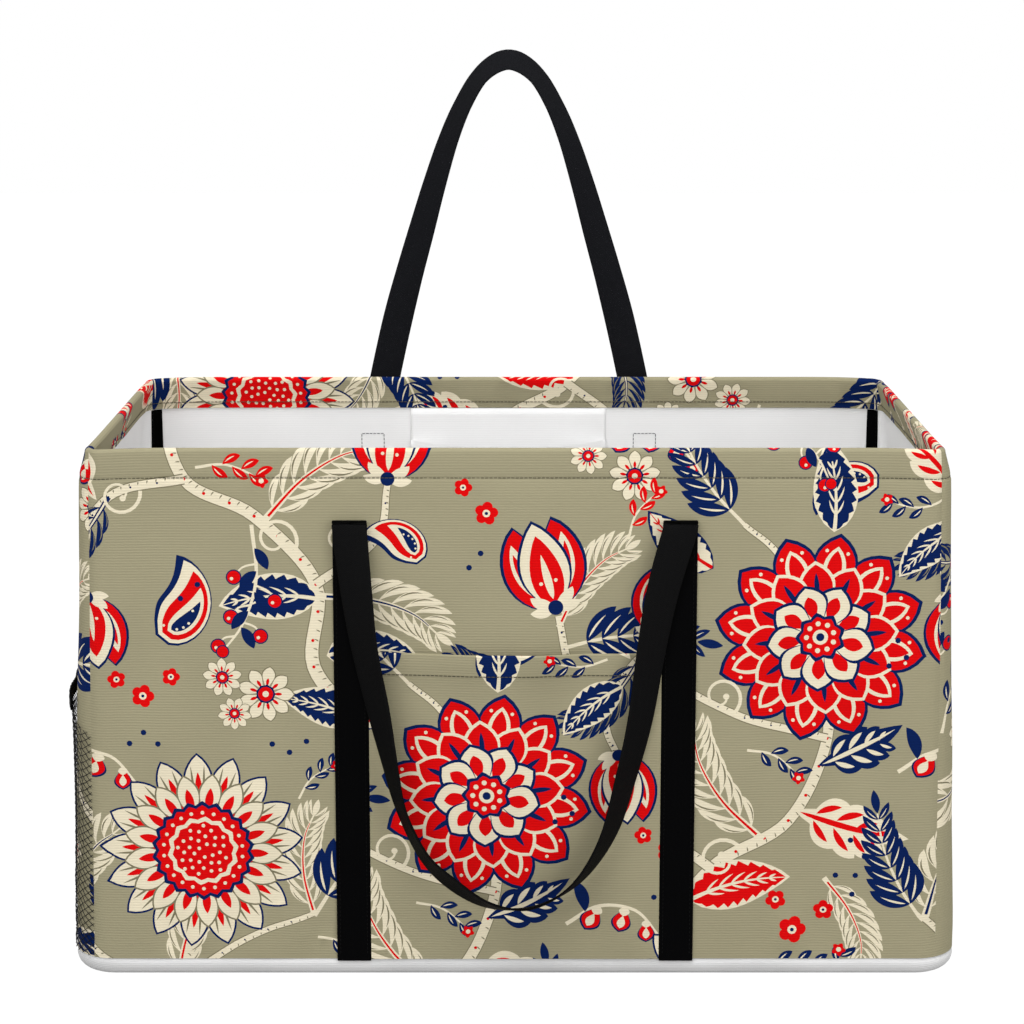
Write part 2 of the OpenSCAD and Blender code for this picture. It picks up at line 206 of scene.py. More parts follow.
# a mesh piece that rides on the body; weld closes poles and seams
def makePiece(name, part, materials, nodes=(), ink=None, sides=None, weld=False, thickness=0.0):
    points, faces, uv = part
    size = faces.shape[1]
    mesh = bpy.data.meshes.new(name)
    mesh.vertices.add(len(points))
    mesh.vertices.foreach_set("co", np.ascontiguousarray(points, np.float32).ravel())
    mesh.loops.add(faces.size)
    mesh.loops.foreach_set("vertex_index", np.ascontiguousarray(faces, np.int32).ravel())
    mesh.polygons.add(len(faces))
    mesh.polygons.foreach_set("loop_start", np.arange(0, faces.size, size, dtype=np.int32))
    mesh.uv_layers.new(name="cloth").data.foreach_set("uv", uv[faces.ravel()].astype(np.float32).ravel())
    if ink is not None:
        mesh.attributes.new("print", "FLOAT_COLOR", "CORNER").data.foreach_set("color",
            np.repeat(ink, size, axis=0).astype(np.float32).ravel())
    if sides is not None:
        mesh.polygons.foreach_set("material_index", np.ascontiguousarray(sides, np.int32))
    mesh.update(calc_edges=True)
    mesh.shade_smooth()
    if weld:
        build = bmesh.new()
        build.from_mesh(mesh)
        bmesh.ops.remove_doubles(build, verts=build.verts, dist=2e-6)
        build.to_mesh(mesh)
        build.free()
    mesh.validate()
    mesh.set_sharp_from_angle(angle=1.0)
    piece = bpy.data.objects.new(name, mesh)
    scene.collection.objects.link(piece)
    for material in materials:
        mesh.materials.append(material)
    if thickness:
        wall = piece.modifiers.new("thickness", "SOLIDIFY")
        wall.thickness, wall.offset = thickness, -1
    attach(piece, "root")
    if nodes:
        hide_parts(*nodes)
    return piece


# Materials


class Wire:
    # a socket; sums, differences and products with numbers or other wires add Math nodes
    def __init__(self, tree, socket=None):
        self.tree, self.socket = tree, socket

    # any node: its type, its settings, then values or links for its sockets
    def add(self, kind, settings={}, sockets={}, out=0):
        node = self.tree.nodes.new(kind)
        for key, value in settings.items():
            setattr(node, key, value)
        for key, value in sockets.items():
            if isinstance(value, Wire):
                self.tree.links.new(value.socket, node.inputs[key])
            else:
                node.inputs[key].default_value = value
        return Wire(self.tree, node.outputs[out])

    # a Math node on two values
    def math(self, operation, first, second=0.0):
        return self.add("ShaderNodeMath", {"operation": operation}, {0: first, 1: second})

    # another output of the same node
    def other(self, out):
        return Wire(self.tree, self.socket.node.outputs[out])

    def __add__(self, value):
        return self.math("ADD", self, value)

    def __radd__(self, value):
        return self.math("ADD", value, self)

    def __sub__(self, value):
        return self.math("SUBTRACT", self, value)

    def __rsub__(self, value):
        return self.math("SUBTRACT", value, self)

    def __mul__(self, value):
        return self.math("MULTIPLY", self, value)

    # a wave from 0 to 1 with one crest for each length
    def wave(self, length):
        return self.math("SINE", self * (2 * math.pi / length)) * 0.5 + 0.5

    # metres across and along the cloth
    def clothUv(self):
        u = self.add("ShaderNodeSeparateXYZ", {}, {0: self.add("ShaderNodeUVMap", {"uv_map": "cloth"})})
        return u, u.other(1)

    # noise on Object coordinates
    def noise(self, scale, detail):
        place = self.add("ShaderNodeTexCoord", out=3)
        return self.add("ShaderNodeTexNoise", {}, {"Vector": place, "Scale": scale, "Detail": detail})

    # a normal from heights
    def bump(self, height, strength, distance=0.0004):
        return self.add("ShaderNodeBump", {}, {"Strength": strength, "Distance": distance, "Height": height})

    # colour darkened by a value from 0 to 1
    def shade(self, colour, value):
        return self.add("ShaderNodeMix", {"data_type": "RGBA", "blend_type": "MULTIPLY"},
            {0: 1.0, 6: colour, 7: value}, 2)

    # 1 for rays from the camera, and for glossy and transmitted ones
    def seen(self):
        path = self.add("ShaderNodeLightPath")
        return self.math("MAXIMUM", path, self.math("MAXIMUM", path.other(3), path.other(6)))


# a new material, a wire to its nodes and its shader
def startMaterial(name):
    material = bpy.data.materials.new(name)
    material.use_nodes = True
    return material, Wire(material.node_tree), material.node_tree.nodes["Principled BSDF"]


# sockets of the shader by name: links for wires, values for the rest
def feed(shader, **sockets):
    for key, value in sockets.items():
        socket = shader.inputs[key.replace("_", " ")]
        if isinstance(value, Wire):
            value.tree.links.new(value.socket, socket)
        else:
            socket.default_value = value


# cloth: ribs along v, finer yarn along u and a little unevenness, as shade and as bump
def clothMaterial(name, colour=None, rib=0.0019, yarn=0.0008, depth=0.07, bump=0.3, mottle=0.10):
    material, wire, shader = startMaterial(name)
    u, v = wire.clothUv()
    uneven, broad = wire.noise(900.0, 2.0), wire.noise(14.0, 2.0)
    ribs = v.wave(rib)
    height = ribs * 0.7 + u.wave(yarn) * ribs * 0.3 + uneven * 0.5
    dark = 1 - (1 - ribs) * depth - (1 - uneven) * depth * 0.7 - (broad - 0.5) * mottle
    base = colour + (1.0,) if colour else wire.add("ShaderNodeAttribute", {"attribute_name": "print"})
    feed(shader, Base_Color=wire.shade(base, dark), Roughness=0.8, Normal=wire.bump(height, bump),
        Specular_IOR_Level=0.05)
    return material


# webbing and tape: slanting yarns that change direction across the width, ribs along it
def webbingMaterial(name, colour, pitch=0.0016, slant=1.0):
    material, wire, shader = startMaterial(name)
    u, v = wire.clothUv()
    uneven = wire.noise(700.0, 3.0)
    zigzag = wire.math("PINGPONG", u + 0.5, 0.002) * slant
    yarns = (v + zigzag).wave(pitch)
    height = yarns * 0.6 + u.wave(0.0010) * 0.4 + uneven * 0.35
    # the yarns lighter than the grooves between them: painted shade of the weave, over uneven tone
    bright = yarns * 0.55 + uneven * 0.5 + 0.35
    feed(shader, Base_Color=wire.shade(colour + (1.0,), bright), Roughness=0.65 - yarns * 0.12,
        Normal=wire.bump(height, 0.5), Specular_IOR_Level=0.015)
    return material


# thread, net and other plain yarn: a twist along the yarn as shade and bump
def yarnMaterial(name, colour, twist=0.0011):
    material, wire, shader = startMaterial(name)
    uneven = wire.noise(1 / twist, 2.0)
    feed(shader, Base_Color=wire.shade(colour + (1.0,), uneven * 0.7 + 0.6), Roughness=0.6,
        Normal=wire.bump(uneven, 0.4, 0.0002), Specular_IOR_Level=0.1)
    return material


# pressed sheet: fine grain and a few darker flecks
def boardMaterial(name, colour):
    material, wire, shader = startMaterial(name)
    grain, cloud = wire.noise(520.0, 4.0), wire.noise(22.0, 3.0)
    feed(shader, Base_Color=wire.shade(colour + (1.0,), 0.80 + grain * 0.18 + cloud * 0.12),
        Roughness=0.55 + grain * 0.25, Normal=wire.bump(grain, 0.3, 0.0003))
    return material


# drawn wire: streaks of shade and gloss
def steelMaterial(name, colour):
    material, wire, shader = startMaterial(name)
    drawn = wire.noise(300.0, 3.0)
    feed(shader, Base_Color=wire.shade(colour + (1.0,), drawn * 0.4 + 0.75), Metallic=1.0,
        Roughness=0.28 + drawn * 0.2)
    return material


printedCloth = clothMaterial("printedCloth")
whiteReverse = clothMaterial("whiteReverse", (0.865, 0.865, 0.865), depth=0.02, bump=0.12)
# the base band's white cloth, darker than the white reverse and with broad blotches: painted shade of the low band
# and of its wrinkles
shadedWhiteBase = clothMaterial("shadedWhiteBase", (0.685, 0.685, 0.685), rib=0.0015, yarn=0.0015, depth=0.06, mottle=0.35)
blackWebbing = webbingMaterial("blackWebbing", (0.0014, 0.0014, 0.0016))
# a paler copy of the black webbing for the back handle, whose face looks up to the lamps: painted light
litUpperWebbing = webbingMaterial("litUpperWebbing", (0.0085, 0.0088, 0.0105))
reverseWebbing = webbingMaterial("reverseWebbing", (0.0056, 0.0056, 0.0058))
blackTape = webbingMaterial("blackTape", (0.0008, 0.0008, 0.0009), pitch=0.0009, slant=0.0)
blackElastic = webbingMaterial("blackElastic", (0.0012, 0.0012, 0.0013), pitch=0.0012, slant=0.0)
netYarn = yarnMaterial("netYarn", (0.010, 0.010, 0.011))
# thread for the hems, dark enough to carry the shade of the crease along each hem as well: painted shade
darkThread = yarnMaterial("darkThread", (0.060, 0.054, 0.036))
greyThread = yarnMaterial("greyThread", (0.09, 0.09, 0.10))
blackThread = yarnMaterial("blackThread", (0.0012, 0.0012, 0.0014))
whiteThread = yarnMaterial("whiteThread", (0.70, 0.70, 0.70))
print("materials made")

# Print of the cloth: patches of ink drawn one over the other, in millimetres, as complex numbers

inkSet = dict(ground=(0.325, 0.297, 0.190), red=(0.67, 0.002, 0.003), navy=(0.002, 0.013, 0.082),
    cream=(0.762, 0.687, 0.512), shade=(0.195, 0.175, 0.107))
inks = np.array([c + (1.0,) for c in inkSet.values()])
ground, red, navy, cream, shade = range(5)


# a round patch: radius times 1 + depth cos(lobes times angle)
def blob(radius, lobes=0, depth=0.0, count=18):
    a = np.linspace(0, 2 * np.pi, count, endpoint=False)
    return radius * (1 + depth * np.cos(lobes * a)) * np.exp(1j * a)


# a leaf or petal along +x: an arc that turns by bend, as wide as a sine with its peak at full, cut by saw teeth
def blade(length, width, bend=0.0, full=0.5, teeth=0, bite=0.4, count=13):
    t = np.linspace(0, 1, teeth * 4 + 1 if teeth else count)
    turn = np.exp(1j * bend * t)
    spine = length * np.append(0, np.cumsum((turn[1:] + turn[:-1]) / 2)) / (len(t) - 1)
    half = width / 2 * np.maximum(np.sin(np.pi * t ** (math.log(0.5) / math.log(full))), 0) ** 0.8
    if teeth:
        half = half * (1 - bite * ((teeth * t + 1e-6) % 1))
    side = 1j * turn * half
    return np.concatenate([spine + side, (spine - side)[-2:0:-1]])


# a smooth line through the points: Catmull-Rom cubics, steps to each stretch
def flow(points, steps=7):
    p = np.array(points, complex)
    p = np.concatenate([[2 * p[0] - p[1]], p, [2 * p[-1] - p[-2]]])
    t = np.linspace(0, 1, steps, endpoint=False)[None, :]
    a, b, c, d = (p[k:len(p) - 3 + k, None] for k in range(4))
    line = (2 * b + (c - a) * t + (2 * a - 5 * b + 4 * c - d) * t ** 2 + (3 * b - a - 3 * c + d) * t ** 3) / 2
    return np.append(line.ravel(), p[-2])


# a ribbon along a line: half the width to each side, from one width to another
def ribbon(line, wide, thin):
    side = np.gradient(line)
    side = 1j * side / np.maximum(abs(side), 1e-9) * np.linspace(wide, thin, len(line)) / 2
    return np.concatenate([line + side, (line - side)[::-1]])


# a drawing moved to its place: turned in degrees and perhaps mirrored
def put(shapes, at=0, turn=0.0, flip=False):
    spin = np.exp(1j * math.radians(turn))
    return [(at + spin * (s.conj()[::-1] if flip else s), ink) for s, ink in shapes]


# drawings laid one over the other: each row is a drawing, its place, its turn and whether it is mirrored
def laid(*rows):
    return [patch for row in rows for patch in put(*row)]


# petals round a centre: every layer is a blade (start, length, width, ink) in shares of r, drawn at count equal turns
def whorl(r, count, layers, start=0.0, full=0.62):
    petal = [(inset * r + blade(length * r, width * r, 0, full), ink) for inset, length, width, ink in layers]
    return laid(*((petal, 0, start + 360 * k / count) for k in range(count)))


# three rings of petals, two dots on each outer petal and an eye ringed with dots
def dahlia(r):
    shapes = whorl(r, 12, [(0.30, 0.74, 0.43, navy), (0.30, 0.70, 0.385, red), (0.34, 0.57, 0.22, cream),
        (0.38, 0.49, 0.145, red)])
    shapes += [(0.86 * r * np.exp(1j * (np.pi / 6 * k + side)) + blob(0.019 * r, count=6), cream)
        for k in range(12) for side in (-0.12, 0.12)]
    shapes += whorl(r, 12, [(0.14, 0.62, 0.36, cream), (0.14, 0.585, 0.31, red), (0.30, 0.34, 0.05, navy)], 15)
    shapes += whorl(r, 9, [(0.05, 0.49, 0.36, navy), (0.05, 0.46, 0.31, cream), (0.16, 0.26, 0.13, red)], 8)
    shapes += [(blob(0.225 * r, 9, 0.10, 36), navy), (blob(0.19 * r, 9, 0.08, 36), red)]
    shapes += [(0.135 * r * np.exp(2j * np.pi * k / 9) + blob(0.026 * r, count=8), cream) for k in range(9)]
    return shapes + [(blob(0.075 * r), cream), (blob(0.04 * r), navy)]


# two rings of slim petals round a wide eye, with seeds on a spiral
def sunflower(r):
    shapes = whorl(r, 17, [(0.40, 0.62, 0.30, navy), (0.40, 0.595, 0.265, cream), (0.42, 0.40, 0.07, red)], 0, 0.55)
    for turn in (-4.4, 4.4):
        shapes += whorl(r, 17, [(0.62, 0.27, 0.022, shade)], turn, 0.4)
    shapes += whorl(r, 17, [(0.36, 0.45, 0.235, shade), (0.36, 0.43, 0.205, cream), (0.38, 0.28, 0.085, red)], 10.6,
        0.55)
    shapes += [(blob(0.50 * r, 22, 0.045, 88), navy), (blob(0.46 * r, 22, 0.04, 88), red),
        (blob(0.345 * r, 14, 0.05, 56), cream), (blob(0.30 * r, 14, 0.04, 56), red)]
    k = np.arange(1, 34)
    seeds = 0.047 * r * np.sqrt(k) * np.exp(1j * k * 2.39996)  # each seed a golden angle on from the last
    rim = 0.40 * r * np.exp(2j * np.pi * np.arange(22) / 22)
    return shapes + [(p + blob(0.02 * r, count=7), cream) for p in np.append(seeds, rim)]


# a cup of two bent petals and a straight one, with small leaves at its foot
def tulip(r):
    cup = []
    for turn, bend in ((34, -0.75), (-34, 0.75)):
        cup += put([(blade(1.06 * r, 0.56 * r, bend, 0.45), navy), (blade(1.02 * r, 0.50 * r, bend, 0.45), red),
            (0.14 * r + blade(0.74 * r, 0.22 * r, bend * 0.8, 0.45), cream),
            (0.20 * r + blade(0.58 * r, 0.11 * r, bend * 0.7, 0.45), red)], 0, turn)
    cup += [(blade(1.02 * r, 0.60 * r, 0, 0.45), navy), (blade(0.98 * r, 0.54 * r, 0, 0.45), cream),
        (blade(0.84 * r, 0.36 * r, 0, 0.42), red), (0.10 * r + blade(0.52 * r, 0.09 * r, 0, 0.42), cream)]
    cup += [((0.30 + k * 0.085j) * r + blob(0.022 * r, count=7), cream) for k in (-1, 1)]
    for turn in (115, -115, 80, -80):
        cup += put([(blade(0.30 * r, 0.13 * r, -0.8 if turn > 0 else 0.8), cream)], 0.02 * r, turn)
    return cup + [(blob(0.085 * r), navy)]


# one ring of petals round an eye
def daisy(r):
    shapes = whorl(r, 9, [(0.12, 0.90, 0.50, shade), (0.12, 0.86, 0.43, cream), (0.2, 0.38, 0.11, red)], 0, 0.66)
    return shapes + [(blob(0.33 * r, 9, 0.08, 27), navy), (blob(0.26 * r), red), (blob(0.11 * r), cream)]


# five round petals and an eye
def starlet(r):
    shapes = [(0.52 * r * np.exp(2j * np.pi * k / 5) + blob(0.40 * r, count=12), red) for k in range(5)]
    return shapes + [(blob(0.30 * r, count=12), cream), (blob(0.13 * r, count=8), navy)]


# a frond: pairs of leaflets that shorten along a rib
def fern(length, leafInk=navy):
    line = flow([0, (0.35 + 0.03j) * length, 0.7 * length, (1 - 0.09j) * length], 6)
    shapes = [(ribbon(line, 0.03 * length, 0.012 * length), cream)]
    heading = np.degrees(np.angle(np.gradient(line)))
    for i, k in enumerate(range(3, len(line) - 1, 2)):
        size = length * (0.36 - 0.027 * i)
        for side in (1, -1):
            shapes += put([(blade(size, size * 0.34, -0.5 * side), leafInk),
                (0.1 * size + blade(0.62 * size, 0.05 * size, -0.4 * side, 0.4, count=7), cream)], line[k],
                heading[k] + side * 52)
    return shapes + put([(blade(0.2 * length, 0.07 * length), leafInk)], line[-1], heading[-1])


# a saw-edged leaf over its pale edge, with a rib and six pairs of veins
def broadLeaf(length, body=navy, edge=cream, vein=cream, bend=0.5):
    shapes = [(-0.02 * length + blade(1.06 * length, 0.50 * length, bend, 0.42), edge),
        (blade(length, 0.47 * length, bend, 0.42, 9, 0.30), body)]
    turn = np.exp(1j * bend * np.linspace(0, 1, 24))
    spine = length * np.append(0, np.cumsum((turn[1:] + turn[:-1]) / 2)) / 23
    shapes.append((ribbon(spine, 0.045 * length, 0.008 * length), vein))
    for k, size in ((4, 0.19), (7, 0.215), (10, 0.20), (13, 0.175), (16, 0.135), (19, 0.085)):
        for side in (1, -1):
            shapes += put([(blade(size * length, 0.024 * length, -0.5 * side, 0.4, count=8), vein)], spine[k],
                math.degrees(bend * k / 23) + side * 40)
    return shapes


# a lobed leaf: pairs of rounded blades on a rib over a narrow middle
def lobedLeaf(length, body=cream, vein=red):
    lobes = [(k * length * (1 + 0.03j), side * 50, side, size * length)
        for k, size in ((0.16, 0.34), (0.34, 0.36), (0.52, 0.29), (0.68, 0.20)) for side in (1, -1)]
    shapes = [(blade(length, 0.24 * length, 0.25), body)]
    for at, turn, side, size in lobes:
        shapes += put([(blade(size, 0.50 * size, -0.5 * side, 0.56), body)], at, turn)
    for at, turn, side, size in lobes:
        shapes += put([(0.12 * size + blade(0.66 * size, 0.16 * size, -0.5 * side, count=9), vein)], at, turn)
    return shapes + [(0.05 * length + blade(0.86 * length, 0.05 * length, 0.25, 0.4), vein)]


# berries on a branching stalk
def sprig(length, berry=red):
    line = flow([0, (0.4 + 0.10j) * length, (0.75 + 0.06j) * length, (1 - 0.06j) * length])
    shapes = [(ribbon(line, 0.03 * length, 0.014 * length), cream)]
    for i, k in enumerate((5, 8, 11, 14, 17)):
        side = 1 if i % 2 else -1
        tip = line[k] + length * (0.20 - 0.012 * i) * np.exp(1j * (side * 0.95 + 0.1))
        mid = (line[k] + tip) / 2 + 0.03 * length * np.exp(1j * side * 2.3)
        shapes.append((ribbon(flow([line[k], mid, tip], 4), 0.017 * length, 0.012 * length), cream))
        shapes += [(tip + blob(0.060 * length, count=14), navy), (tip + blob(0.050 * length, count=14), berry),
            (tip + (0.014 - 0.014j) * length + blob(0.014 * length, count=6), cream)]
        shapes += put([(blade(0.19 * length, 0.085 * length, 0.4 * side), navy)], line[k - 2], -side * 48 + 4)
    return shapes + [(line[-1] + blob(share * length, count=14), ink)
        for share, ink in ((0.052, navy), (0.043, berry))]


# a stalk with a row of dots along it and slanting ticks down one edge
def stalk(points, wide, thin, dot=red):
    line = flow([complex(*p) for p in points], 9)
    wide, thin = 1.35 * wide, 1.35 * thin
    shapes = [(ribbon(line, wide + 1.6, thin + 1.2), shade), (ribbon(line, wide, thin), cream)]
    heading = np.degrees(np.angle(np.gradient(line)))
    edge = line - 1j * np.exp(1j * np.radians(heading)) * np.linspace(wide, thin, len(line)) * 0.47
    for k in range(1, len(line) - 1):
        shapes += put([(blade(0.40 * wide, 0.9, 0.4, 0.35, count=5), shade)], edge[k], heading[k] + 62)
    return shapes + [(line[k] + blob(0.13 * wide, count=6), dot) for k in range(3, len(line) - 3, 3)]


# a curl at the end of a thin stalk
def tendril(r):
    a = np.linspace(0, 2.3 * np.pi, 26)
    line = -1j * r * ((1 - a / 9.5) * np.exp(1j * a) - 1)
    return [(ribbon(line, 0.17 * r, 0.10 * r), cream), (line[-1] + blob(0.15 * r, count=10), cream)]


# a feather: pairs of slim curved barbs along a rib
def plume(length, ink=cream, rib=red):
    line = flow([0, (0.4 + 0.08j) * length, (0.75 + 0.06j) * length, (1 - 0.05j) * length])
    heading = np.degrees(np.angle(np.gradient(line)))
    shapes = []
    for k in range(2, 21, 2):
        size = length * 0.37 * math.sin(math.pi * (0.22 + 0.66 * k / 21))
        for side in (1, -1):
            shapes += put([(blade(size, 0.19 * size, -0.9 * side, 0.6, count=9), ink),
                (0.22 * size + blade(0.56 * size, 0.035 * size, -0.9 * side, 0.5, count=6), shade)], line[k],
                heading[k] + side * 56)
    shapes += put([(blade(0.17 * length, 0.06 * length, 0.2, count=9), ink)], line[-2], heading[-1])
    return shapes + [(ribbon(line, 0.055 * length, 0.012 * length), ink),
        (ribbon(line[1:-3], 0.02 * length, 0.006 * length), rib)]


# a curled drop with rings of ink inside and a row of dots
def paisley(r):
    rings = ((0, 2.3, 1.25, navy), (0.07, 2.12, 1.10, cream), (0.17, 1.80, 0.86, red), (0.30, 1.36, 0.52, cream),
        (0.38, 1.0, 0.30, navy))
    shapes = [(at * r + blade(long * r, wide * r, 1.9 * long / 2.3, 0.36, count=17), ink)
        for at, long, wide, ink in rings]
    return shapes + [((0.62 + 0.36j) * r + 0.42 * r * np.exp(1j * a) + blob(0.035 * r, count=6), cream)
        for a in np.linspace(-2.6, 0.1, 8)]


# bells hanging from an arched stalk
def bells(r):
    line = flow([0, (0.5 + 0.42j) * r, (1.1 + 0.45j) * r, (1.6 + 0.05j) * r])
    shapes = [(ribbon(line, 0.07 * r, 0.04 * r), cream)]
    for k, size in ((7, 0.50), (12, 0.46), (17, 0.40), (21, 0.34)):
        shapes += put([(blade(size * r, 0.74 * size * r, 0, 0.64), navy),
            (blade(0.93 * size * r, 0.62 * size * r, 0, 0.64), red),
            (0.34 * size * r + blade(0.5 * size * r, 0.30 * size * r, 0, 0.6, count=9), cream),
            (blade(0.36 * size * r, 0.40 * size * r, 0, 0.5, count=9), cream)], line[k], -90 + 3 * (k - 14))
    return shapes + put([(blade(0.6 * r, 0.22 * r, 0.7), navy)], line[4], 100)


# small leaves to both sides of a thin line in turn, and a bud at its tip
def twig(length, leafInk=navy):
    line = flow([0, (0.4 + 0.09j) * length, (0.75 + 0.02j) * length, (1 - 0.1j) * length], 5)
    shapes = [(ribbon(line, 0.045 * length, 0.025 * length), cream)]
    for i, k in enumerate((3, 5, 7, 9, 11, 13)):
        side = 1 if i % 2 else -1
        shapes += put([(blade(0.31 * length, 0.13 * length, -0.6 * side, 0.55), leafInk),
            (0.05 * length + blade(0.18 * length, 0.022 * length, -0.4 * side, count=6), cream)], line[k], side * 50)
    return shapes + [(line[-1] + blob(0.095 * length, 5, 0.2, 25), red),
        (line[-1] + blob(0.04 * length, count=8), cream)]


# round dots at the points
def dots(points, r=2.1, ink=navy):
    return [(complex(*p) + blob(r, count=7), ink) for p in points]


# One repeat of the print in two halves, which alternate from column to column by half a drop
repeatW, repeatH = 300, 420


def repeatA():
    out = stalk([(30, -215), (5, -160), (38, -105), (92, -70), (118, -10), (112, 40)], 7, 5)
    out += stalk([(38, -105), (-5, -70), (-40, -20), (-62, 40), (-70, 78)], 5, 3.4, navy)
    out += stalk([(118, -10), (60, 5), (10, 32), (-4, 60)], 4, 3, navy)
    out += stalk([(112, 62), (84, 118), (58, 142)], 3.6, 2.6, navy)
    out += stalk([(5, -160), (-40, -150), (-66, -112)], 3, 2, navy)
    out += laid((plume(96, cream, red), 74 - 84j, 124), (plume(80, navy, cream), -62 + 38j, 176),
        (plume(92, cream, navy), -64 - 112j, 196), (plume(74, cream, red), -70 + 70j, 52),
        (plume(70, navy, cream), 8 - 150j, 106), (plume(70, cream, red), 118 - 112j, -64),
        (paisley(30), -128 - 128j, 200), (bells(40), -44 + 196j, -8), (paisley(24), 150 + 168j, 150),
        (lobedLeaf(70, cream, navy), 28 - 206j, 152), (broadLeaf(60, navy, cream, cream, -0.5), 32 - 208j, 24),
        (broadLeaf(78, navy, cream, cream, 0.55), 8 - 158j, 160),
        (broadLeaf(70, red, cream, cream, -0.5), 24 - 128j, 28),
        (broadLeaf(66, navy, cream, cream, -0.5), -44 - 12j, 168), (lobedLeaf(84), 96 - 62j, -22),
        (lobedLeaf(66, navy, cream), 112 - 30j, 20), (broadLeaf(50, navy, cream, cream, 0.5), -16 - 54j, 66),
        (fern(92), -66 + 55j, 8), (tulip(62), -72 + 84j, 106), (tulip(46), -4 + 66j, 74),
        (fern(84), 58 + 142j, 128), (dahlia(72), 112 + 62j, 20),
        (broadLeaf(62, navy, cream, cream, 0.4), 120 + 138j, 84),
        (broadLeaf(58, cream, navy, red, -0.4), 36 + 112j, 150), (sprig(96), -128 - 60j, 78),
        (sprig(84), 52 - 196j, -36), (daisy(21), -64 - 108j), (daisy(15), -96 - 90j, 15),
        (daisy(13), -44 - 76j, 30), (daisy(18), -18 + 176j, 10), (daisy(13), -50 + 190j), (starlet(11), 96 - 150j),
        (starlet(8), 118 - 136j, 20), (starlet(8), 84 - 128j, 50), (starlet(9), -120 + 150j, 8),
        (starlet(7), -136 + 168j), (tendril(15), 52 + 8j, 35), (tendril(17), 60 - 92j, 115),
        (tendril(13), -56 + 14j, 210, True), (twig(42), 62 - 18j, -24), (twig(54), -118 - 86j, 62),
        (twig(48), 68 - 184j, 10), (twig(46), 112 - 208j, 62, True), (twig(40, red), -22 + 132j, 62))
    return out + dots([(-112, -20), (-104, -8), (-92, -2), (-120, -6), (-88, -22), (-98, -34), (20, 176), (30, 190),
        (14, 196), (140, -110), (146, -96), (136, -84), (126, -110), (138, -124), (-132, 112), (-124, 122)])


def repeatB():
    out = stalk([(96, -212), (60, -168), (62, -110), (20, -62), (-28, -36), (-40, 20), (-22, 66), (-20, 110)], 7, 5)
    out += stalk([(62, -110), (104, -78), (112, -40)], 4.4, 3.2, navy)
    out += stalk([(-28, -36), (-80, -48), (-104, -92), (-96, -122)], 4.6, 3.2, navy)
    out += stalk([(-40, 20), (8, 52), (58, 72)], 3.6, 2.6, navy)
    out += stalk([(-40, 20), (-84, 34), (-112, 68)], 3.6, 2.6, navy)
    out += laid((plume(94, cream, red), 26 - 66j, 36), (plume(88, cream, navy), 64 - 118j, -16),
        (plume(84, cream, red), -40 + 22j, 66), (plume(70, navy, cream), -80 - 48j, 226),
        (plume(76, cream, red), 58 + 70j, 92), (plume(78, cream, navy), -112 + 66j, 66),
        (paisley(30), -50 - 146j, 20), (bells(42), -132 + 176j, -10), (paisley(22), 132 - 96j, 100),
        (broadLeaf(56, navy, cream, cream, 0.5), 92 - 208j, 148), (lobedLeaf(62, cream, navy), 98 - 208j, 40),
        (fern(100), 58 + 70j, 52), (fern(86), -112 + 66j, 118), (sunflower(70), -20 + 118j, 8),
        (tulip(58), 112 - 36j, 84), (tulip(50), -96 - 120j, -82), (lobedLeaf(92, navy, cream), -34 - 8j, 152),
        (broadLeaf(84, red, cream, cream, -0.45), -36 + 12j, 4),
        (broadLeaf(66, navy, cream, cream, 0.5), 62 - 120j, 170),
        (broadLeaf(60, navy, cream, cream, -0.5), 70 - 160j, 14), (lobedLeaf(74, cream, red), -88 - 50j, 128),
        (broadLeaf(52, navy, cream, cream, 0.5), -94 - 70j, 206), (sprig(92), 18 - 68j, -100),
        (sprig(80), 84 + 22j, 12), (daisy(20), 26 - 188j), (daisy(14), -4 - 176j, 12), (daisy(12), 4 - 202j, 30),
        (daisy(17), 110 + 152j, 14), (daisy(12), 88 + 172j, 30), (daisy(12), 126 + 178j), (starlet(10), -118 + 8j),
        (starlet(8), -134 + 24j, 24), (starlet(8), -136 - 6j), (starlet(9), -60 - 190j),
        (starlet(7), -78 - 178j, 30), (starlet(7), -40 - 176j), (tendril(16), 48 - 86j, 60),
        (tendril(15), -58 - 44j, 280, True), (tendril(14), 84 - 92j, 20), (twig(36), 48 + 156j, 48),
        (twig(44), 60 + 54j, -24), (twig(40), -104 - 50j, 186), (twig(46, red), -20 - 28j, -6))
    return out + dots([(-70, 196), (-60, 204), (-50, 196), (30, 196), (42, 190), (54, 198), (-134, -150),
        (-128, -162), (-140, -168), (-20, -110), (-32, -120), (-24, -134), (130, 62), (138, 50), (128, 40)])


repeatHalves = (repeatA(), repeatB())


# the repeat laid over a cut of cloth from (0, 0) to (width, height), slid by shift
def printOver(width, height, shift):
    shapes = []
    for col in range(-3, int(width / repeatW) + 3):
        for row in range(-3, int(height / repeatH) + 3):
            at = complex(shift[0] + col * repeatW, shift[1] + row * repeatH + (col % 2) * repeatH / 2)
            shapes += [(s, ink) for s, ink in put(repeatHalves[col % 2], at)
                if s.real.max() > 0 and s.real.min() < width and s.imag.max() > 0 and s.imag.min() < height]
    return shapes


# which spots lie on the lower, right, upper and left side of a cut
def onSides(spots, width, height):
    x, y = spots[:, 0], spots[:, 1]
    return abs(np.stack([y, x - width, y - height, x])) < 1e-3


# triangles without the ones outside the cut and the slivers that lie along a side
def trimmed(spots, triangles, width, height):
    middle = spots[triangles].mean(1)
    inside = (middle > 0).all(1) & (middle < [width, height]).all(1)
    return triangles[inside & ~onSides(spots, width, height)[:, triangles].all(2).any(0)]


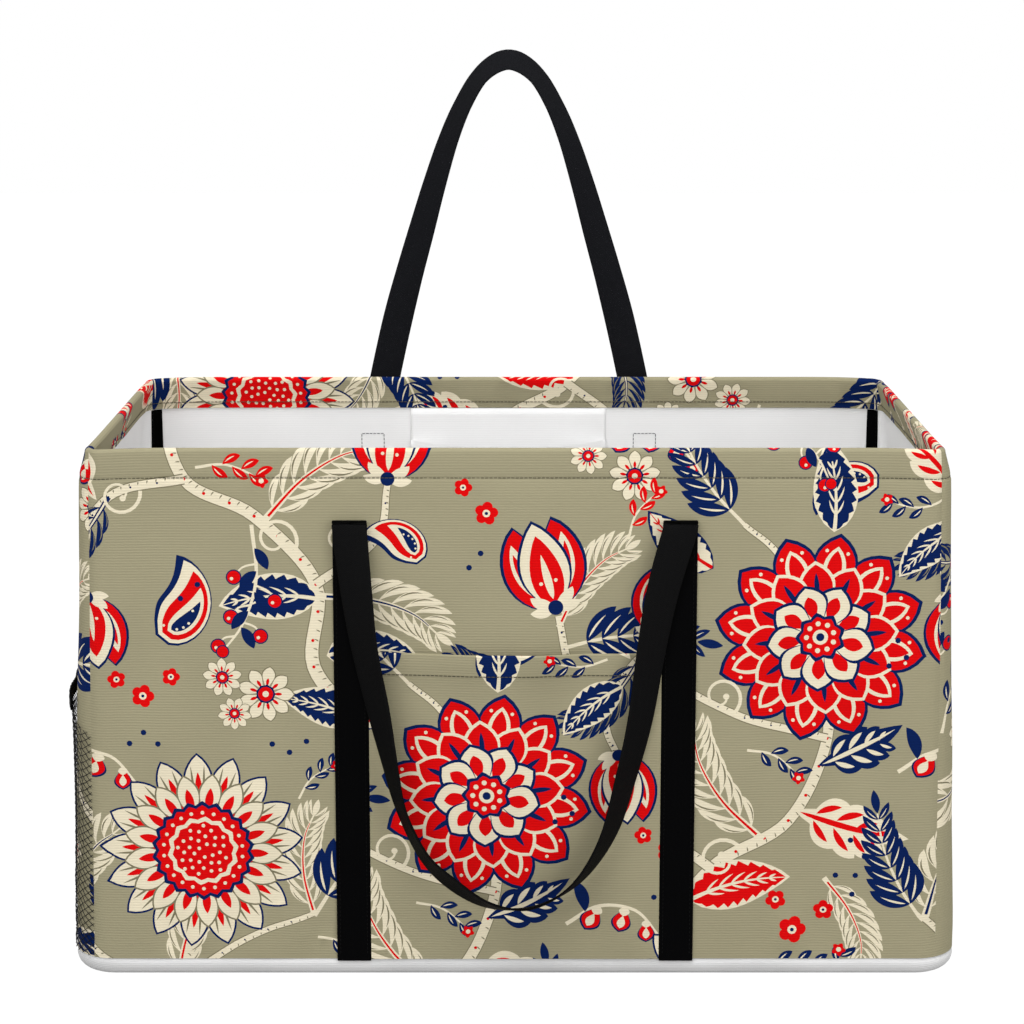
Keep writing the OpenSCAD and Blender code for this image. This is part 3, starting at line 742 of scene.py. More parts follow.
# triangles of a printed cut: the outlines and a net of straight lines meet in one Delaunay mesh, and each
# triangle takes the last patch that winds round its middle
def printedCut(width, height, uLines, vLines, shift):
    shapes = printOver(width, height, shift)
    loops = [s for s, _ in shapes]
    starts = np.cumsum([0] + [len(s) for s in loops])
    total = starts[-1]
    edges = [np.stack([np.arange(len(s)), np.roll(np.arange(len(s)), -1)], -1) + k for s, k in zip(loops, starts)]
    lines = [(complex(u, 0), complex(u, height)) for u in uLines]
    lines += [(complex(0, v), complex(width, v)) for v in vLines]
    edges.append(total + np.arange(2 * len(lines)).reshape(-1, 2))
    flat = np.concatenate(loops + [np.array(lines).ravel()])
    corners = np.stack([flat.real, flat.imag], -1)
    made = geometry.delaunay_2d_cdt(corners.tolist(), np.concatenate(edges).tolist(), [], 0, 1e-4, False)
    spots, triangles = np.array(made[0]), np.array(made[2])
    used, triangles = np.unique(trimmed(spots, triangles, width, height), return_inverse=True)
    spots, triangles = spots[used], triangles.reshape(-1, 3)
    middle = spots[triangles].mean(1)
    order = np.argsort(middle[:, 0])
    sortedX = middle[order, 0]
    ink = np.full(len(middle), ground)
    for s, colour in shapes:
        lo, hi = np.searchsorted(sortedX, (s.real.min(), s.real.max()))
        close = order[lo:hi]
        close = close[(middle[close, 1] > s.imag.min()) & (middle[close, 1] < s.imag.max())]
        px, py = middle[close, 0][:, None], middle[close, 1][:, None]
        nextS = np.roll(s, -1)
        rise = nextS.imag - s.imag
        right = px < s.real + (py - s.imag) * (nextS.real - s.real) / np.where(rise == 0, 1e-9, rise)
        up = (s.imag <= py) & (nextS.imag > py) & right
        down = (s.imag > py) & (nextS.imag <= py) & right
        ink[close[up.sum(1) != down.sum(1)]] = colour
    return spots, triangles, inks[ink]


# places along the edge of a cut, anticlockwise from (0, 0)
def edgeRing(spots, width, height):
    x, y = spots[:, 0], spots[:, 1]
    sides = onSides(spots, width, height)
    run = np.select(list(sides), [x, width + y, 2 * width + height - x, 2 * (width + height) - y], -1)
    run[sides[3] & sides[0]] = 0
    ring = np.flatnonzero(sides.any(0))
    return ring[np.argsort(run[ring])]


# a printed sheet: outer side cut by the print, inner side cut by the straight lines alone and moved in along
# the normal, and a strip round the edge; place gives the points for metres u and v
def printedSheet(name, width, height, uLines, vLines, shift, place, thick, node):
    spots, triangles, ink = printedCut(width, height, uLines, vLines, shift)
    ring = edgeRing(spots, width, height)
    count = len(ring)
    upright, level = [((u, 0), (u, height)) for u in uLines[1:-1]], [((0, v), (width, v)) for v in vLines[1:-1]]
    lines = np.array(upright + level).reshape(-1, 2)
    edges = np.concatenate([np.stack([np.arange(count), np.roll(np.arange(count), -1)], -1),
        count + np.arange(len(lines)).reshape(-1, 2)])
    made = geometry.delaunay_2d_cdt(np.concatenate([spots[ring], lines]).tolist(), edges.tolist(), [], 0, 1e-4, False)
    backSpots = np.array(made[0])
    backTriangles = trimmed(backSpots, np.array(made[2]), width, height)
    backRing = edgeRing(backSpots, width, height) + len(spots)
    allSpots = np.concatenate([spots, backSpots]) * mm
    u, v = allSpots[:, 0], allSpots[:, 1]
    points, step = place(u, v), 2e-5
    normal = np.cross(place(u + step, v) - place(u - step, v), place(u, v + step) - place(u, v - step))
    normal /= np.linalg.norm(normal, axis=1, keepdims=True)
    points[len(spots):] -= thick * normal[len(spots):]
    a, b, c, d = ring, np.roll(ring, -1), backRing, np.roll(backRing, -1)
    rim = np.concatenate([np.stack([b, a, c], -1), np.stack([b, c, d], -1)])
    plain = np.concatenate([backTriangles[:, ::-1] + len(spots), rim])
    faces = np.concatenate([triangles, plain])
    print(name, "triangles:", len(faces))
    return makePiece(name, (points, faces, allSpots), [printedCloth, whiteReverse], [node],
        np.concatenate([ink, np.ones((len(plain), 4))]), np.repeat([0, 1], [len(triangles), len(plain)]))


# lines at even steps between two ends
def spaced(start, end, step):
    return np.linspace(start, end, max(int(round((end - start) / step)), 1) + 1)


# Panels: one wall section from the base seam up, over the rim wire and down inside, carried round the bag

panels = dict(
    front=dict(mid=0.0, half=axisX + seamReach, shift=(395, 172), node="front_panel"),
    back=dict(mid=backMid, half=axisX + seamReach, shift=(215, 60), node="back_panel"),
    right=dict(mid=rightMid, half=axisY + arcLength - seamReach, shift=(120, 250), node="right_panel"),
    left=dict(mid=leftMid, half=axisY + arcLength - seamReach, shift=(331.3, 150), node="left_panel"))
# Lines across a panel in millimetres: steps on the straight and in the corners, places beside the hem's stitches
panelLines = dict(step=12, cornerStep=2.6, crease=(-2.6, -1.2, 0, 1.2, 2.6))
flapGap = 0.00015

lowZ = np.linspace(bag["baseBand"], bag["baseBand"] + 0.003, 4)
wallProfile = np.concatenate([np.stack([outer(lowZ), lowZ], -1),
    arcOf(rollN, rollZ, rollR, 0, 180, 13),
    [[inner(stitchZ) - bag["clothT"] - flapGap, stitchZ], [inner(foldZ) - bag["clothT"] - flapGap, foldZ]]])
wallRuns = lengthsOf(wallProfile)


# a point of the panel cloth: s round the bag, v up the section from the base seam
def panelAt(s, v):
    return wallAt(s, np.interp(v, wallRuns, wallProfile[:, 0]), np.interp(v, wallRuns, wallProfile[:, 1]))


for name, cut in panels.items():
    half = cut["half"] / mm
    straight = half - (seamReach if name in ("front", "back") else arcLength - seamReach) / mm
    uLines = np.concatenate([spaced(-half, -straight, panelLines["cornerStep"])[:-1],
        spaced(-straight, straight, panelLines["step"]), spaced(straight, half, panelLines["cornerStep"])[1:]])
    bends = wallRuns / mm
    crease = np.interp(stitchZ, wallProfile[:5, 1], bends[:5]) + np.array(panelLines["crease"])
    vLines = np.concatenate([bends[:4], spaced(bends[3], crease[0], panelLines["step"])[1:], crease[1:], bends[4:]])
    start = cut["mid"] - cut["half"]
    printedSheet(name + "PanelCloth", 2 * half, bends[-1], uLines + half, vLines, cut["shift"],
        lambda u, v: panelAt(start + u, v), bag["clothT"], cut["node"])


# places round the bag: coarse on the straights, fine on the corners
def roundBag(step, cornerSteps):
    first = spaced(0, axisX, step)[:-1]
    return np.concatenate([first] + [spaced(a, b, (b - a) / cornerSteps if k % 2 else step)[:-1]
        for k, (a, b) in enumerate(zip(stretches[1:-1], stretches[2:]), 1)])


# Rim wire: a round section carried in the roll of the hem
wireSet = dict(step=0.02, cornerSteps=8, sides=10)
aroundWire = roundBag(wireSet["step"], wireSet["cornerSteps"])
turnWire = np.linspace(0, 2 * np.pi, wireSet["sides"], endpoint=False)
wireGrid = wallAt(aroundWire[None, :], rollN + bag["wireD"] / 2 * np.cos(turnWire[:, None]),
    rollZ + bag["wireD"] / 2 * np.sin(turnWire[:, None]))
wireGrid = np.concatenate([wireGrid, wireGrid[:1]])
makePiece("rimWire", gridPart(wireGrid, np.zeros(2), True), [steelMaterial("springWire", (0.55, 0.55, 0.56))],
    ["rim_wire"], weld=True)
print("rim wire made")

# Base: flat bottom, round edge and the low white band up to the seam
baseSet = dict(step=0.012, cornerSteps=8, flatRows=9, arcRows=9, seamTuck=0.0006, tuckLow=0.009, tuckHigh=0.005,
    uneven=0.0005, unevenCount=23, flat=(0.636, 0.331))
aroundBase = roundBag(baseSet["step"], baseSet["cornerSteps"])
baseProfile = np.append(arcOf(curlN, bag["baseR"], bag["baseR"], -90, 0, baseSet["arcRows"]),
    [[outer(bag["baseBand"]), bag["baseBand"]]], 0)
shrink = np.linspace(0, 1, baseSet["flatRows"])[:, None]
axX, axY = plan(aroundBase)[:2]
flatRows = np.stack([shrink * axX, shrink * axY, 0 * shrink * axX], -1)
baseN, baseZ = baseProfile[:, :1], baseProfile[:, 1:]
tuck = ease((baseZ - baseSet["tuckLow"]) / baseSet["tuckHigh"]) * baseSet["seamTuck"]
edgeRows = wallAt(aroundBase[None, :], baseN - tuck, baseZ)
upEdge = np.linspace(0, 1, len(baseProfile))[:, None]
edgeRows[:, :, 2] += baseSet["uneven"] * roundWave(aroundBase, baseSet["unevenCount"]) * upEdge ** 4
baseGrid = np.concatenate([flatRows, edgeRows])
baseUv = np.stack([baseGrid[:, :, 0], baseGrid[:, :, 1] + baseGrid[:, :, 2]], -1)
# the base cloth takes the darker copy of the white cloth, with its painted shade
baseCloth = makePiece("baseCloth", gridPart(baseGrid, baseUv, True), [shadedWhiteBase], ["base_panel"],
    weld=True, thickness=bag["baseT"])
print("base made")

# Webbing: a flat section with round edges carried along a path

selvedge = dict(steps=11, rise=0.10, inset=0.0022, wide=0.0009)
strapX, strapZ = webbing["gap"] / 2, bag["height"] - webbing["stop"]
strapLift = webbing["seat"] + webbing["thick"] / 2
outFace, inFace = np.array([[0.0, -1, 0]]), np.array([[0.0, 1, 0]])


# rows of the section along the path; face is the way the front looks, twist turns it about the path in degrees
def strapGrid(path, face, twist, width, thick):
    along = np.gradient(path, axis=0)
    along /= np.linalg.norm(along, axis=1, keepdims=True)
    face = face - along * (face * along).sum(1, keepdims=True)
    face = face / np.linalg.norm(face, axis=1, keepdims=True)
    across = np.cross(along, face)
    c, s = np.cos(np.radians(twist))[:, None], np.sin(np.radians(twist))[:, None]
    face, across = face * c + across * s, across * c - face * s
    b = thick / 2
    w = np.linspace(-1, 1, selvedge["steps"]) * (width / 2 - b)
    bead = 1 + selvedge["rise"] * np.exp(-((abs(w) - width / 2 + selvedge["inset"]) / selvedge["wide"]) ** 2)
    e = np.linspace(np.pi / 2, -np.pi / 2, 5)[1:-1]
    sectionW = np.concatenate([w, width / 2 - b + b * np.cos(e), w[::-1], -width / 2 + b - b * np.cos(e)])
    sectionH = np.concatenate([b * bead, b * np.sin(e), -b * bead, -b * np.sin(e)])
    grid = path[:, None] + across[:, None] * sectionW[:, None] + face[:, None] * sectionH[:, None]
    caps = np.repeat(path[[0, -1], None], grid.shape[1], 1)
    runs = np.pad(lengthsOf(path), 1, mode="edge")
    uv = np.stack(np.broadcast_arrays(sectionW[None, :], runs[:, None]), -1)
    return np.concatenate([caps[:1], grid, caps[1:]]), uv


# the sewn run on a wall, from the base seam up to the last stitches
sewnZ = np.concatenate([np.linspace(bag["baseBand"] - 0.001, 0.03, 8), spaced(0.034, strapZ, 0.006)])


def sewnRun(s):
    return wallAt(np.full(len(sewnZ), s), faceOut(sewnZ) + strapLift, sewnZ)


# points of the loop as x, z and twist in degrees
frontLoop = dict(foldR=0.003, stand=0.0190, line=((-0.1140, 0.3280, 0), (-0.1095, 0.2852, 20), (-0.1040, 0.2440, 38),
    (-0.0952, 0.2026, 43), (-0.0867, 0.1609, 60), (-0.0792, 0.1293, 69), (-0.0643, 0.0974, 64), (-0.0463, 0.0782, 52),
    (-0.0216, 0.0620, 60), (0.0051, 0.0577, 72), (0.0278, 0.0653, 72), (0.0483, 0.0825, 66), (0.0656, 0.1123, 56),
    (0.0766, 0.1504, 48), (0.0865, 0.1922, 40), (0.0943, 0.2440, 30), (0.1020, 0.2852, 15), (0.1140, 0.3280, 0)))
foldA = np.linspace(0, np.pi, 8)[1:-1]
leftRun, rightRun = sewnRun(-strapX), sewnRun(strapX)[::-1]
leftTop, rightTop = leftRun[-1], rightRun[0]


# half a turn forward and down from the top of a sewn run
def foldOver(top, angles):
    r = frontLoop["foldR"]
    return top + r * np.stack([0 * angles, np.cos(angles) - 1, np.sin(angles)], -1)


loopLine = flow([complex(x, z) for x, z, _ in frontLoop["line"]], 8)
loopT = np.linspace(0, 1, len(loopLine))
loopY = leftTop[1] - 2 * frontLoop["foldR"] - frontLoop["stand"] * np.sin(np.pi * loopT) ** 0.8
loopPath = np.stack([loopLine.real, loopY, loopLine.imag], -1)
loopPath[:, 0] += (leftTop[0] + strapX) * (1 - loopT) + (rightTop[0] - strapX) * loopT
frontPath = np.concatenate([leftRun, foldOver(leftTop, foldA), loopPath, foldOver(rightTop, foldA[::-1]), rightRun])
foldFace = np.stack([0 * foldA, -np.cos(foldA), np.sin(foldA)], -1)
frontFace = np.concatenate([np.repeat(outFace, len(leftRun), 0), foldFace, np.repeat(inFace, len(loopPath), 0),
    foldFace[::-1], np.repeat(outFace, len(rightRun), 0)])
loopTwist = np.interp(loopT, np.linspace(0, 1, len(frontLoop["line"])), [p[2] for p in frontLoop["line"]])
frontTwist = np.pad(loopTwist, len(leftRun) + len(foldA))
frontTwist = np.convolve(np.pad(frontTwist, 3, mode="edge"), np.ones(7) / 7, "valid")
frontGrid, frontUv = strapGrid(frontPath, frontFace, frontTwist, webbing["width"], webbing["thick"])
# the paler reverse of the webbing shows where the loop hangs folded over: columns 12 to 26 of the section
column = np.arange(frontGrid.shape[1])
reverse = np.tile((column > 11) & (column < 27), len(frontGrid) - 1)
makePiece("frontHandle", gridPart(frontGrid, frontUv, True), [blackWebbing, reverseWebbing],
    ["front_handle"], sides=reverse, weld=True)

# half of the arch as x, z and twist in degrees
archHalf = ((0.1100, 0.3280, 0), (0.1054, 0.3520, 0), (0.0985, 0.3856, 0), (0.0893, 0.4263, 8), (0.0797, 0.4630, 22),
    (0.0695, 0.4987, 31), (0.0592, 0.5346, 41), (0.0478, 0.5702, 50), (0.0363, 0.5977, 56), (0.0228, 0.6200, 58),
    (0.0071, 0.6317, 52))
archSteps = 5
archX, archZ, archTwist = np.array(archHalf).T
leftRun, rightRun = sewnRun(backStraps[0]), sewnRun(backStraps[1])[::-1]
archLine = flow(np.concatenate([-archX + 1j * archZ, archX[::-1] + 1j * archZ[::-1]]), archSteps)
archTwist = np.append(archTwist, archTwist[::-1])
archTwist = np.interp(np.arange(len(archLine)) / archSteps, np.arange(len(archTwist)), archTwist)
archY = leftRun[-1, 1] + 0 * archLine.real
archPath = np.stack([archLine.real - webbing["backSlide"], archY, archLine.imag], -1)[1:-1]
backPath = np.concatenate([leftRun, archPath, rightRun])
backTwist = -np.pad(archTwist[1:-1], len(leftRun))
backFace = np.repeat(inFace, len(backPath), 0)
backGrid, backUv = strapGrid(backPath, backFace, backTwist, webbing["width"], webbing["thick"])
# the back handle wears the paler copy of the webbing, with painted light on its upward face
makePiece("backHandle", gridPart(backGrid, backUv, True), [litUpperWebbing], ["back_handle"], weld=True)
print("handles made")

# Front pocket: a slack printed sheet between the webbings, its mouth turned in and stitched

pocket = dict(half=0.10185, top=0.238, hem=0.018, stitch=0.0025, slack=0.005, ripple=0.0007, rippleLong=0.071,
    rippleLean=9, roll=0.0011, rollHigh=0.03, seat=0.00015, cloth=0.8, hemShare=0.995, shift=(-30, 60), step=10)
pocketProfile = np.concatenate([[[0, bag["baseBand"] + 0.0002], [0, bag["baseBand"] + 0.002]],
    arcOf(-pocket["roll"], pocket["top"] - pocket["roll"], pocket["roll"], 0, 180, 7),
    [[-2 * pocket["roll"], pocket["top"] - pocket["hem"]]]])
pocketRuns = lengthsOf(pocketProfile)


# distance of the pocket's cloth from the panel: slack at the middle, growing to the mouth
def pocketGap(x, z):
    u = x / pocket["half"]
    high = np.clip((z - bag["baseR"]) / (pocket["top"] - bag["baseR"]), 0, 1)
    wave = np.sin(2 * np.pi * x / pocket["rippleLong"] + pocket["rippleLean"] * z)
    ripple = pocket["ripple"] * wave * np.sin(np.pi * high)
    return pocket["seat"] + (1 - u ** 2) ** 2 * (pocket["slack"] * high ** 1.6 + ripple)


# a point of the pocket's cloth: x from its middle, v up its section and over the roll at the mouth
def pocketAt(x, v):
    turn = np.interp(v, pocketRuns, pocketProfile[:, 0])
    z = np.interp(v, pocketRuns, pocketProfile[:, 1])
    room = 2 * pocket["roll"] * ease((z - pocket["top"] + pocket["rollHigh"]) / pocket["rollHigh"])
    return wallAt(x, faceOut(z) + pocketGap(x, z) + bag["clothT"] + room + turn, z)


bends = pocketRuns / mm
vLines = np.concatenate([bends[:1], spaced(bends[1], bends[2], pocket["step"]), bends[3:]])
uLines = spaced(0, 2 * pocket["half"] / mm, pocket["step"])
pocketCloth = printedSheet("frontPocketCloth", uLines[-1], bends[-1], uLines, vLines, pocket["shift"],
    lambda u, v: pocketAt(u - pocket["half"], v), bag["clothT"] * pocket["cloth"], "front_pocket")

# Inner pocket: one white sheet, down the back panel, folded and up again to a slack mouth

innerPocket = dict(half=0.0787, mouth=0.0525, deep=0.146, dip=0.004, slack=0.017, ripple=0.0009, rippleLong=0.047,
    rippleLean=5, seat=0.0012, fold=0.0022, cloth=0.0009, sewn=0.003, slide=-0.0052, hem=0.012, stitch=0.009,
    flat=0.345, columns=61, down=30, up=34, hemRows=5)
innerTop, innerMouth = foldZ - 0.0005, bag["height"] - innerPocket["mouth"]
innerLow = innerMouth - innerPocket["deep"]
px = np.linspace(-1, 1, innerPocket["columns"]) * innerPocket["half"]
downZ = np.linspace(innerTop, innerLow, innerPocket["down"])[:, None]
upT = np.linspace(0, 1, innerPocket["up"])[:, None]
belly = np.maximum(1 - (px / (innerPocket["half"] - innerPocket["sewn"])) ** 2, 0) ** 0.8
upZ = innerLow + upT * (innerPocket["deep"] - innerPocket["dip"] * (1 - (px / innerPocket["half"]) ** 2))
out = innerPocket["fold"] + innerPocket["slack"] * belly * upT ** 1.4
wave = np.sin(2 * np.pi * px / innerPocket["rippleLong"] + innerPocket["rippleLean"] * upT)
out = out + innerPocket["ripple"] * belly * upT * wave
hemZ = upZ[-1:] - innerPocket["hem"] * np.linspace(0.1, 1, innerPocket["hemRows"])[:, None]


# rows of the pocket's cloth at distance off from the back panel
def innerRows(off, z):
    return wallAt((backMid - px - innerPocket["slide"])[None, :], inner(z) - innerPocket["seat"] - off, z + 0 * px)


upRows = innerRows(out, upZ)
innerGrid = np.concatenate([innerRows(0, downZ), upRows, innerRows(out[-1:] - innerPocket["fold"], hemZ)])[::-1]
innerUv = np.stack(np.broadcast_arrays(px[None, :], lengthsOf(innerGrid[:, len(px) // 2])[:, None]), -1)
innerCloth = makePiece("innerPocketCloth", gridPart(innerGrid, innerUv), [whiteReverse],
    ["inner_pocket"], thickness=innerPocket["cloth"])
print("inner pocket made")

# Net pocket: two crossing sets of slanting yarns over the left end, gathered on an elastic

net = dict(low=0.0145, top=0.1955, droop=0.0165, droopWide=0.014, slack=0.0055, seat=0.0006, ripple=0.0012,
    rippleLong=0.038, rippleLean=4, cell=0.0042, lean=0.75, weave=0.00035, yarn=0.00029, points=46, sides=3)
elastic = dict(ends=0.0145, high=0.010, thick=0.0018, lift=0.0003, steps=150, gather=0.00025, gatherLong=0.0052)
netStart, netEnd = leftMid - panels["left"]["half"], leftMid + panels["left"]["half"]
netWide, netHigh = netEnd - netStart, net["top"] - net["low"]


# top of the net: lower where it runs into the seams
def netTop(s):
    return net["top"] - net["droop"] * sum(np.exp(-((s - end) / net["droopWide"]) ** 2) for end in (netStart, netEnd))


# a point of the net at height share q, standing off the panel by the slack
def netAt(s, q, lift=0.0):
    z = net["low"] + q * (netTop(s) - net["low"])
    high = np.clip((z - bag["baseR"]) / (net["top"] - bag["baseR"]), 0, 1)
    t = np.clip((s - netStart) / netWide, 0, 1)
    wave = np.sin(2 * np.pi * s / net["rippleLong"] + net["rippleLean"] * q)
    ripple = net["ripple"] * wave * np.sin(np.pi * t) * high
    bulge = net["slack"] * high ** 5 * np.sin(np.pi * t) ** 0.4
    return wallAt(s, faceOut(z) + net["seat"] + bulge + ripple + lift, z)


yarnParts = []
lean = net["lean"]
starts = np.arange(-netHigh * lean, netWide, net["cell"])
turns = 2 * np.pi * np.arange(net["sides"]) / net["sides"]
for way in (1, -1):
    q0, q1 = np.maximum(0, -starts / lean) / netHigh, np.minimum(netHigh, (netWide - starts) / lean) / netHigh
    long = q1 - q0 > 0.02
    q = q0[long, None] + (q1 - q0)[long, None] * np.linspace(0, 1, net["points"])
    s = starts[long, None] + q * netHigh * lean
    s = netStart + (s if way > 0 else netWide - s)
    weave = net["weave"] * way * np.cos(np.pi * q * netHigh / net["cell"] * 2 * lean)
    line = netAt(s, q, net["yarn"] + weave)
    along = np.gradient(line, axis=1)
    along /= np.linalg.norm(along, axis=2, keepdims=True)
    away = outwardAt(s)
    across = np.cross(along, away)
    ring = away[:, :, None] * np.cos(turns)[:, None] + across[:, :, None] * np.sin(turns)[:, None]
    ends = np.repeat(line[:, [0, -1], None], net["sides"], 2)
    tubes = np.concatenate([ends[:, :1], line[:, :, None] + net["yarn"] * ring, ends[:, 1:]], 1)
    yarnParts += [gridPart(tube, np.zeros(2), True) for tube in tubes]
netYarns = makePiece("netPocketYarns", joined(yarnParts), [netYarn], ["mesh_pocket"], weld=True)
print("net:", len(netYarns.data.polygons), "faces")

elasticS = np.linspace(netStart + elastic["ends"], netEnd - elastic["ends"], elastic["steps"])
elasticPath = netAt(elasticS, np.ones(elastic["steps"]), elastic["thick"] / 2 + elastic["lift"])
elasticPath[:, 2] += elastic["high"] / 2
elasticOut = outwardAt(elasticS)
elasticGrid, elasticUv = strapGrid(elasticPath, elasticOut, np.zeros(elastic["steps"]), elastic["high"],
    elastic["thick"])
capped = np.pad(np.arange(elastic["steps"]), 1, mode="edge")  # the strap has a cap row at each end
gather = elastic["gather"] * np.sin(2 * np.pi * elasticS[capped] / elastic["gatherLong"])
elasticGrid += (elasticOut[capped] * gather[:, None])[:, None]
makePiece("netPocketElastic", gridPart(elasticGrid, elasticUv, True), [blackElastic], ["mesh_elastic"],
    weld=True)
print("elastic made")

# Corner tapes: folded binding over the upright seams inside

tapeSet = dict(thick=0.0010, low=0.020, topGap=0.0006, steps=60, columns=13, seat=0.0001, under=0.00008,
    ripple=0.00012, rippleLong=0.013, stitchHigh=0.93, stitchAt=(0.82, 0.18), stitchEnds=0.002)
tapes = dict(front_right=(axisX, seams[0]), back_right=(seams[1], backMid - axisX),
    back_left=(backMid + axisX, seams[2]), front_left=(seams[3], girth - axisX))
for name, (start, end) in tapes.items():
    t = np.linspace(0, 1, tapeSet["columns"])
    z = np.linspace(tapeSet["low"], foldZ - tapeSet["topGap"], tapeSet["steps"])[:, None]
    crown = tapeSet["thick"] * (0.55 + 0.45 * np.sin(np.pi * t) ** 0.6)
    crown = crown + tapeSet["ripple"] * np.sin(2 * np.pi * z / tapeSet["rippleLong"] + 3 * t)
    grid = wallAt((start + (end - start) * t)[None, :] + 0 * z, inner(z) - tapeSet["seat"] - crown, z + 0 * t)
    under = wallAt((start + (end - start) * t[::-1])[None, :] + 0 * z, inner(z) - tapeSet["under"] + 0 * t, z + 0 * t)
    grid = np.concatenate([grid, under], 1)[::-1]
    caps = np.repeat(grid[[0, -1]].mean(1, keepdims=True), grid.shape[1], 1)
    grid, z = np.concatenate([caps[:1], grid, caps[1:]]), np.pad(z, ((1, 1), (0, 0)), mode="edge")[::-1]
    uv = np.stack(np.broadcast_arrays(np.append(t, 1 + t)[None, :] * (end - start), z), -1)
    makePiece("cornerTape_" + name, gridPart(grid, uv, True), [blackTape], ["corner_tape_" + name], weld=True)
print("tapes made")

# Stitches: slim spindles at even steps along lines on the cloth

spindleX = np.array([-1, -0.62, 0, 0.62, 1])[:, None]
spindleR = np.array([0, 0.85, 1, 0.85, 0])[:, None]
spindleA = 2 * np.pi * np.arange(4) / 4
spindle = np.stack(np.broadcast_arrays(spindleX, spindleR * np.cos(spindleA), spindleR * np.sin(spindleA)), -1)


# values along a line of points at the given runs
def along3(at, runs, values):
    return np.stack([np.interp(at, runs, values[:, i]) for i in range(3)], -1)


# stitches along a line of points on a surface that looks along away: one each pitch, a share of it long
def stitchRow(line, away, pitch=0.0030, share=0.72, radius=0.00026, sink=0.3):
    away = np.broadcast_to(away, line.shape)
    runs = lengthsOf(line)
    count = max(int(runs[-1] / pitch), 1)
    at = (np.arange(count) + 0.5) * runs[-1] / count
    first, last = (along3(at + k * pitch * share / 2, runs, line) for k in (-1, 1))
    along = (last - first) / 2
    out = along3(at, runs, away)
    out /= np.linalg.norm(out, axis=1, keepdims=True)
    side = np.cross(along, out)
    side /= np.linalg.norm(side, axis=1, keepdims=True)
    centre = (first + last) / 2 + out * radius * (1 - sink)
    points = (centre[:, None, None] + along[:, None, None] * spindle[..., :1]
        + radius * (out[:, None, None] * spindle[..., 1:2] + side[:, None, None] * spindle[..., 2:]))
    rows, sides = spindle.shape[:2]
    faces = gridFaces(rows, sides, True)[None] + rows * sides * np.arange(count)[:, None, None]
    return points.reshape(-1, 3), faces.reshape(-1, 4), np.zeros((rows * sides * count, 2))


hemS = np.append(roundBag(0.004, 10), girth)
hemLine = wallAt(hemS, outer(stitchZ) + 0 * hemS, stitchZ + 0 * hemS)
hemInside = wallAt(hemS, inner(stitchZ) - bag["clothT"] - flapGap + 0 * hemS, stitchZ + 0 * hemS)
pocketX = np.linspace(-pocket["hemShare"], pocket["hemShare"], 90) * pocket["half"]
hemV = np.interp(pocket["top"] - pocket["hem"] + pocket["stitch"], pocketProfile[:5, 1], pocketRuns[:5])
pocketHemLine = pocketAt(pocketX, np.full(len(pocketX), hemV))
# the hem rows run end to end as one dark line: real stitching, and painted shade of the crease at the stitches
rows = [stitchRow(line, away, share=1.0, radius=0.00034) for line, away in ((hemLine, outwardAt(hemS)),
    (hemInside, -outwardAt(hemS)), (pocketHemLine, outFace))]
stitchedHemAndCreaseShade = makePiece("hemStitchesAndCreaseShade", joined(rows), [darkThread], weld=True)

# Rows down both edges of the sewn webbing, a crossed box near its top and a plain box inside the bag
sewing = dict(edge=0.0095, half=0.0090, below=0.002, boxHigh=0.022, insideLow=0.014, insideHigh=0.008, over=1.03)
sewnTop = strapZ - sewing["below"]
runZ = spaced(bag["baseBand"] + 0.004, sewnTop, 0.01)


# lines of a box at distance offset(z) outward: four sides, then perhaps two diagonals with the top side between them
def boxLines(s, offset, low, high, crossed):
    half, t = sewing["half"], np.linspace(0, 1, 8)
    corners = [(-half, low), (half, low), (half, high), (-half, high), (-half, low)]
    corners += [(half, high), (-half, high), (half, low)] if crossed else []
    return [wallAt(s + x0 + (x1 - x0) * t, offset(z0 + (z1 - z0) * t), z0 + (z1 - z0) * t)
        for (x0, z0), (x1, z1) in zip(corners[:-1], corners[1:])]


# outer face of the sewn webbing, over its thicker edges
def strapFace(z):
    return faceOut(z) + webbing["seat"] + webbing["thick"] * sewing["over"]


rows, boxRows = [], []
for s, away in ((-strapX, outFace), (strapX, outFace), (backStraps[0], inFace), (backStraps[1], inFace)):
    for edge in (-sewing["edge"], sewing["edge"]):
        rows.append(stitchRow(wallAt(np.full(len(runZ), s + edge), strapFace(runZ), runZ), away))
    rows += [stitchRow(line, away) for line in boxLines(s, strapFace, sewnTop - sewing["boxHigh"], sewnTop, True)]
    boxRows += [stitchRow(line, -away, share=0.92, radius=0.0003) for line in
        boxLines(s, inner, sewnTop - sewing["insideLow"], sewnTop + sewing["insideHigh"], False)]
makePiece("strapStitches", joined(rows), [blackThread], weld=True)
boxStitches = makePiece("boxStitches", joined(boxRows), [greyThread], weld=True)

mouthLine = upRows[-1] - [0, 0.0001, innerPocket["stitch"]]
rows = [stitchRow(line, outFace, radius=0.0002) for line in (upRows[:, 2], upRows[:, -3], mouthLine)]
pocketStitches = makePiece("innerPocketStitches", joined(rows), [whiteThread], weld=True)

rows = []
for name, (start, end) in tapes.items():
    z = np.linspace(tapeSet["low"] + tapeSet["stitchEnds"], foldZ - tapeSet["stitchEnds"], tapeSet["steps"])
    share = tapeSet["stitchAt"][0 if name in ("front_right", "back_left") else 1]
    s = np.full(len(z), start + (end - start) * share)
    rows.append(stitchRow(wallAt(s, inner(z) - tapeSet["seat"] - tapeSet["thick"] * tapeSet["stitchHigh"], z),
        -outwardAt(s)))
makePiece("tapeStitches", joined(rows), [blackThread], weld=True)
print("stitches made")

# Base board stays as the CAD node, with a finish of its own
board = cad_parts["base_board"].data
board.materials.clear()
board.materials.append(boardMaterial("stiffBoard", (0.72, 0.70, 0.66)))

# What each sheet was cut to
for name, onIt in dict(front=[stitchedHemAndCreaseShade], back=[boxStitches], right=[], left=[]).items():
    2 * panels[name]["half"]

# Floor, light and camera

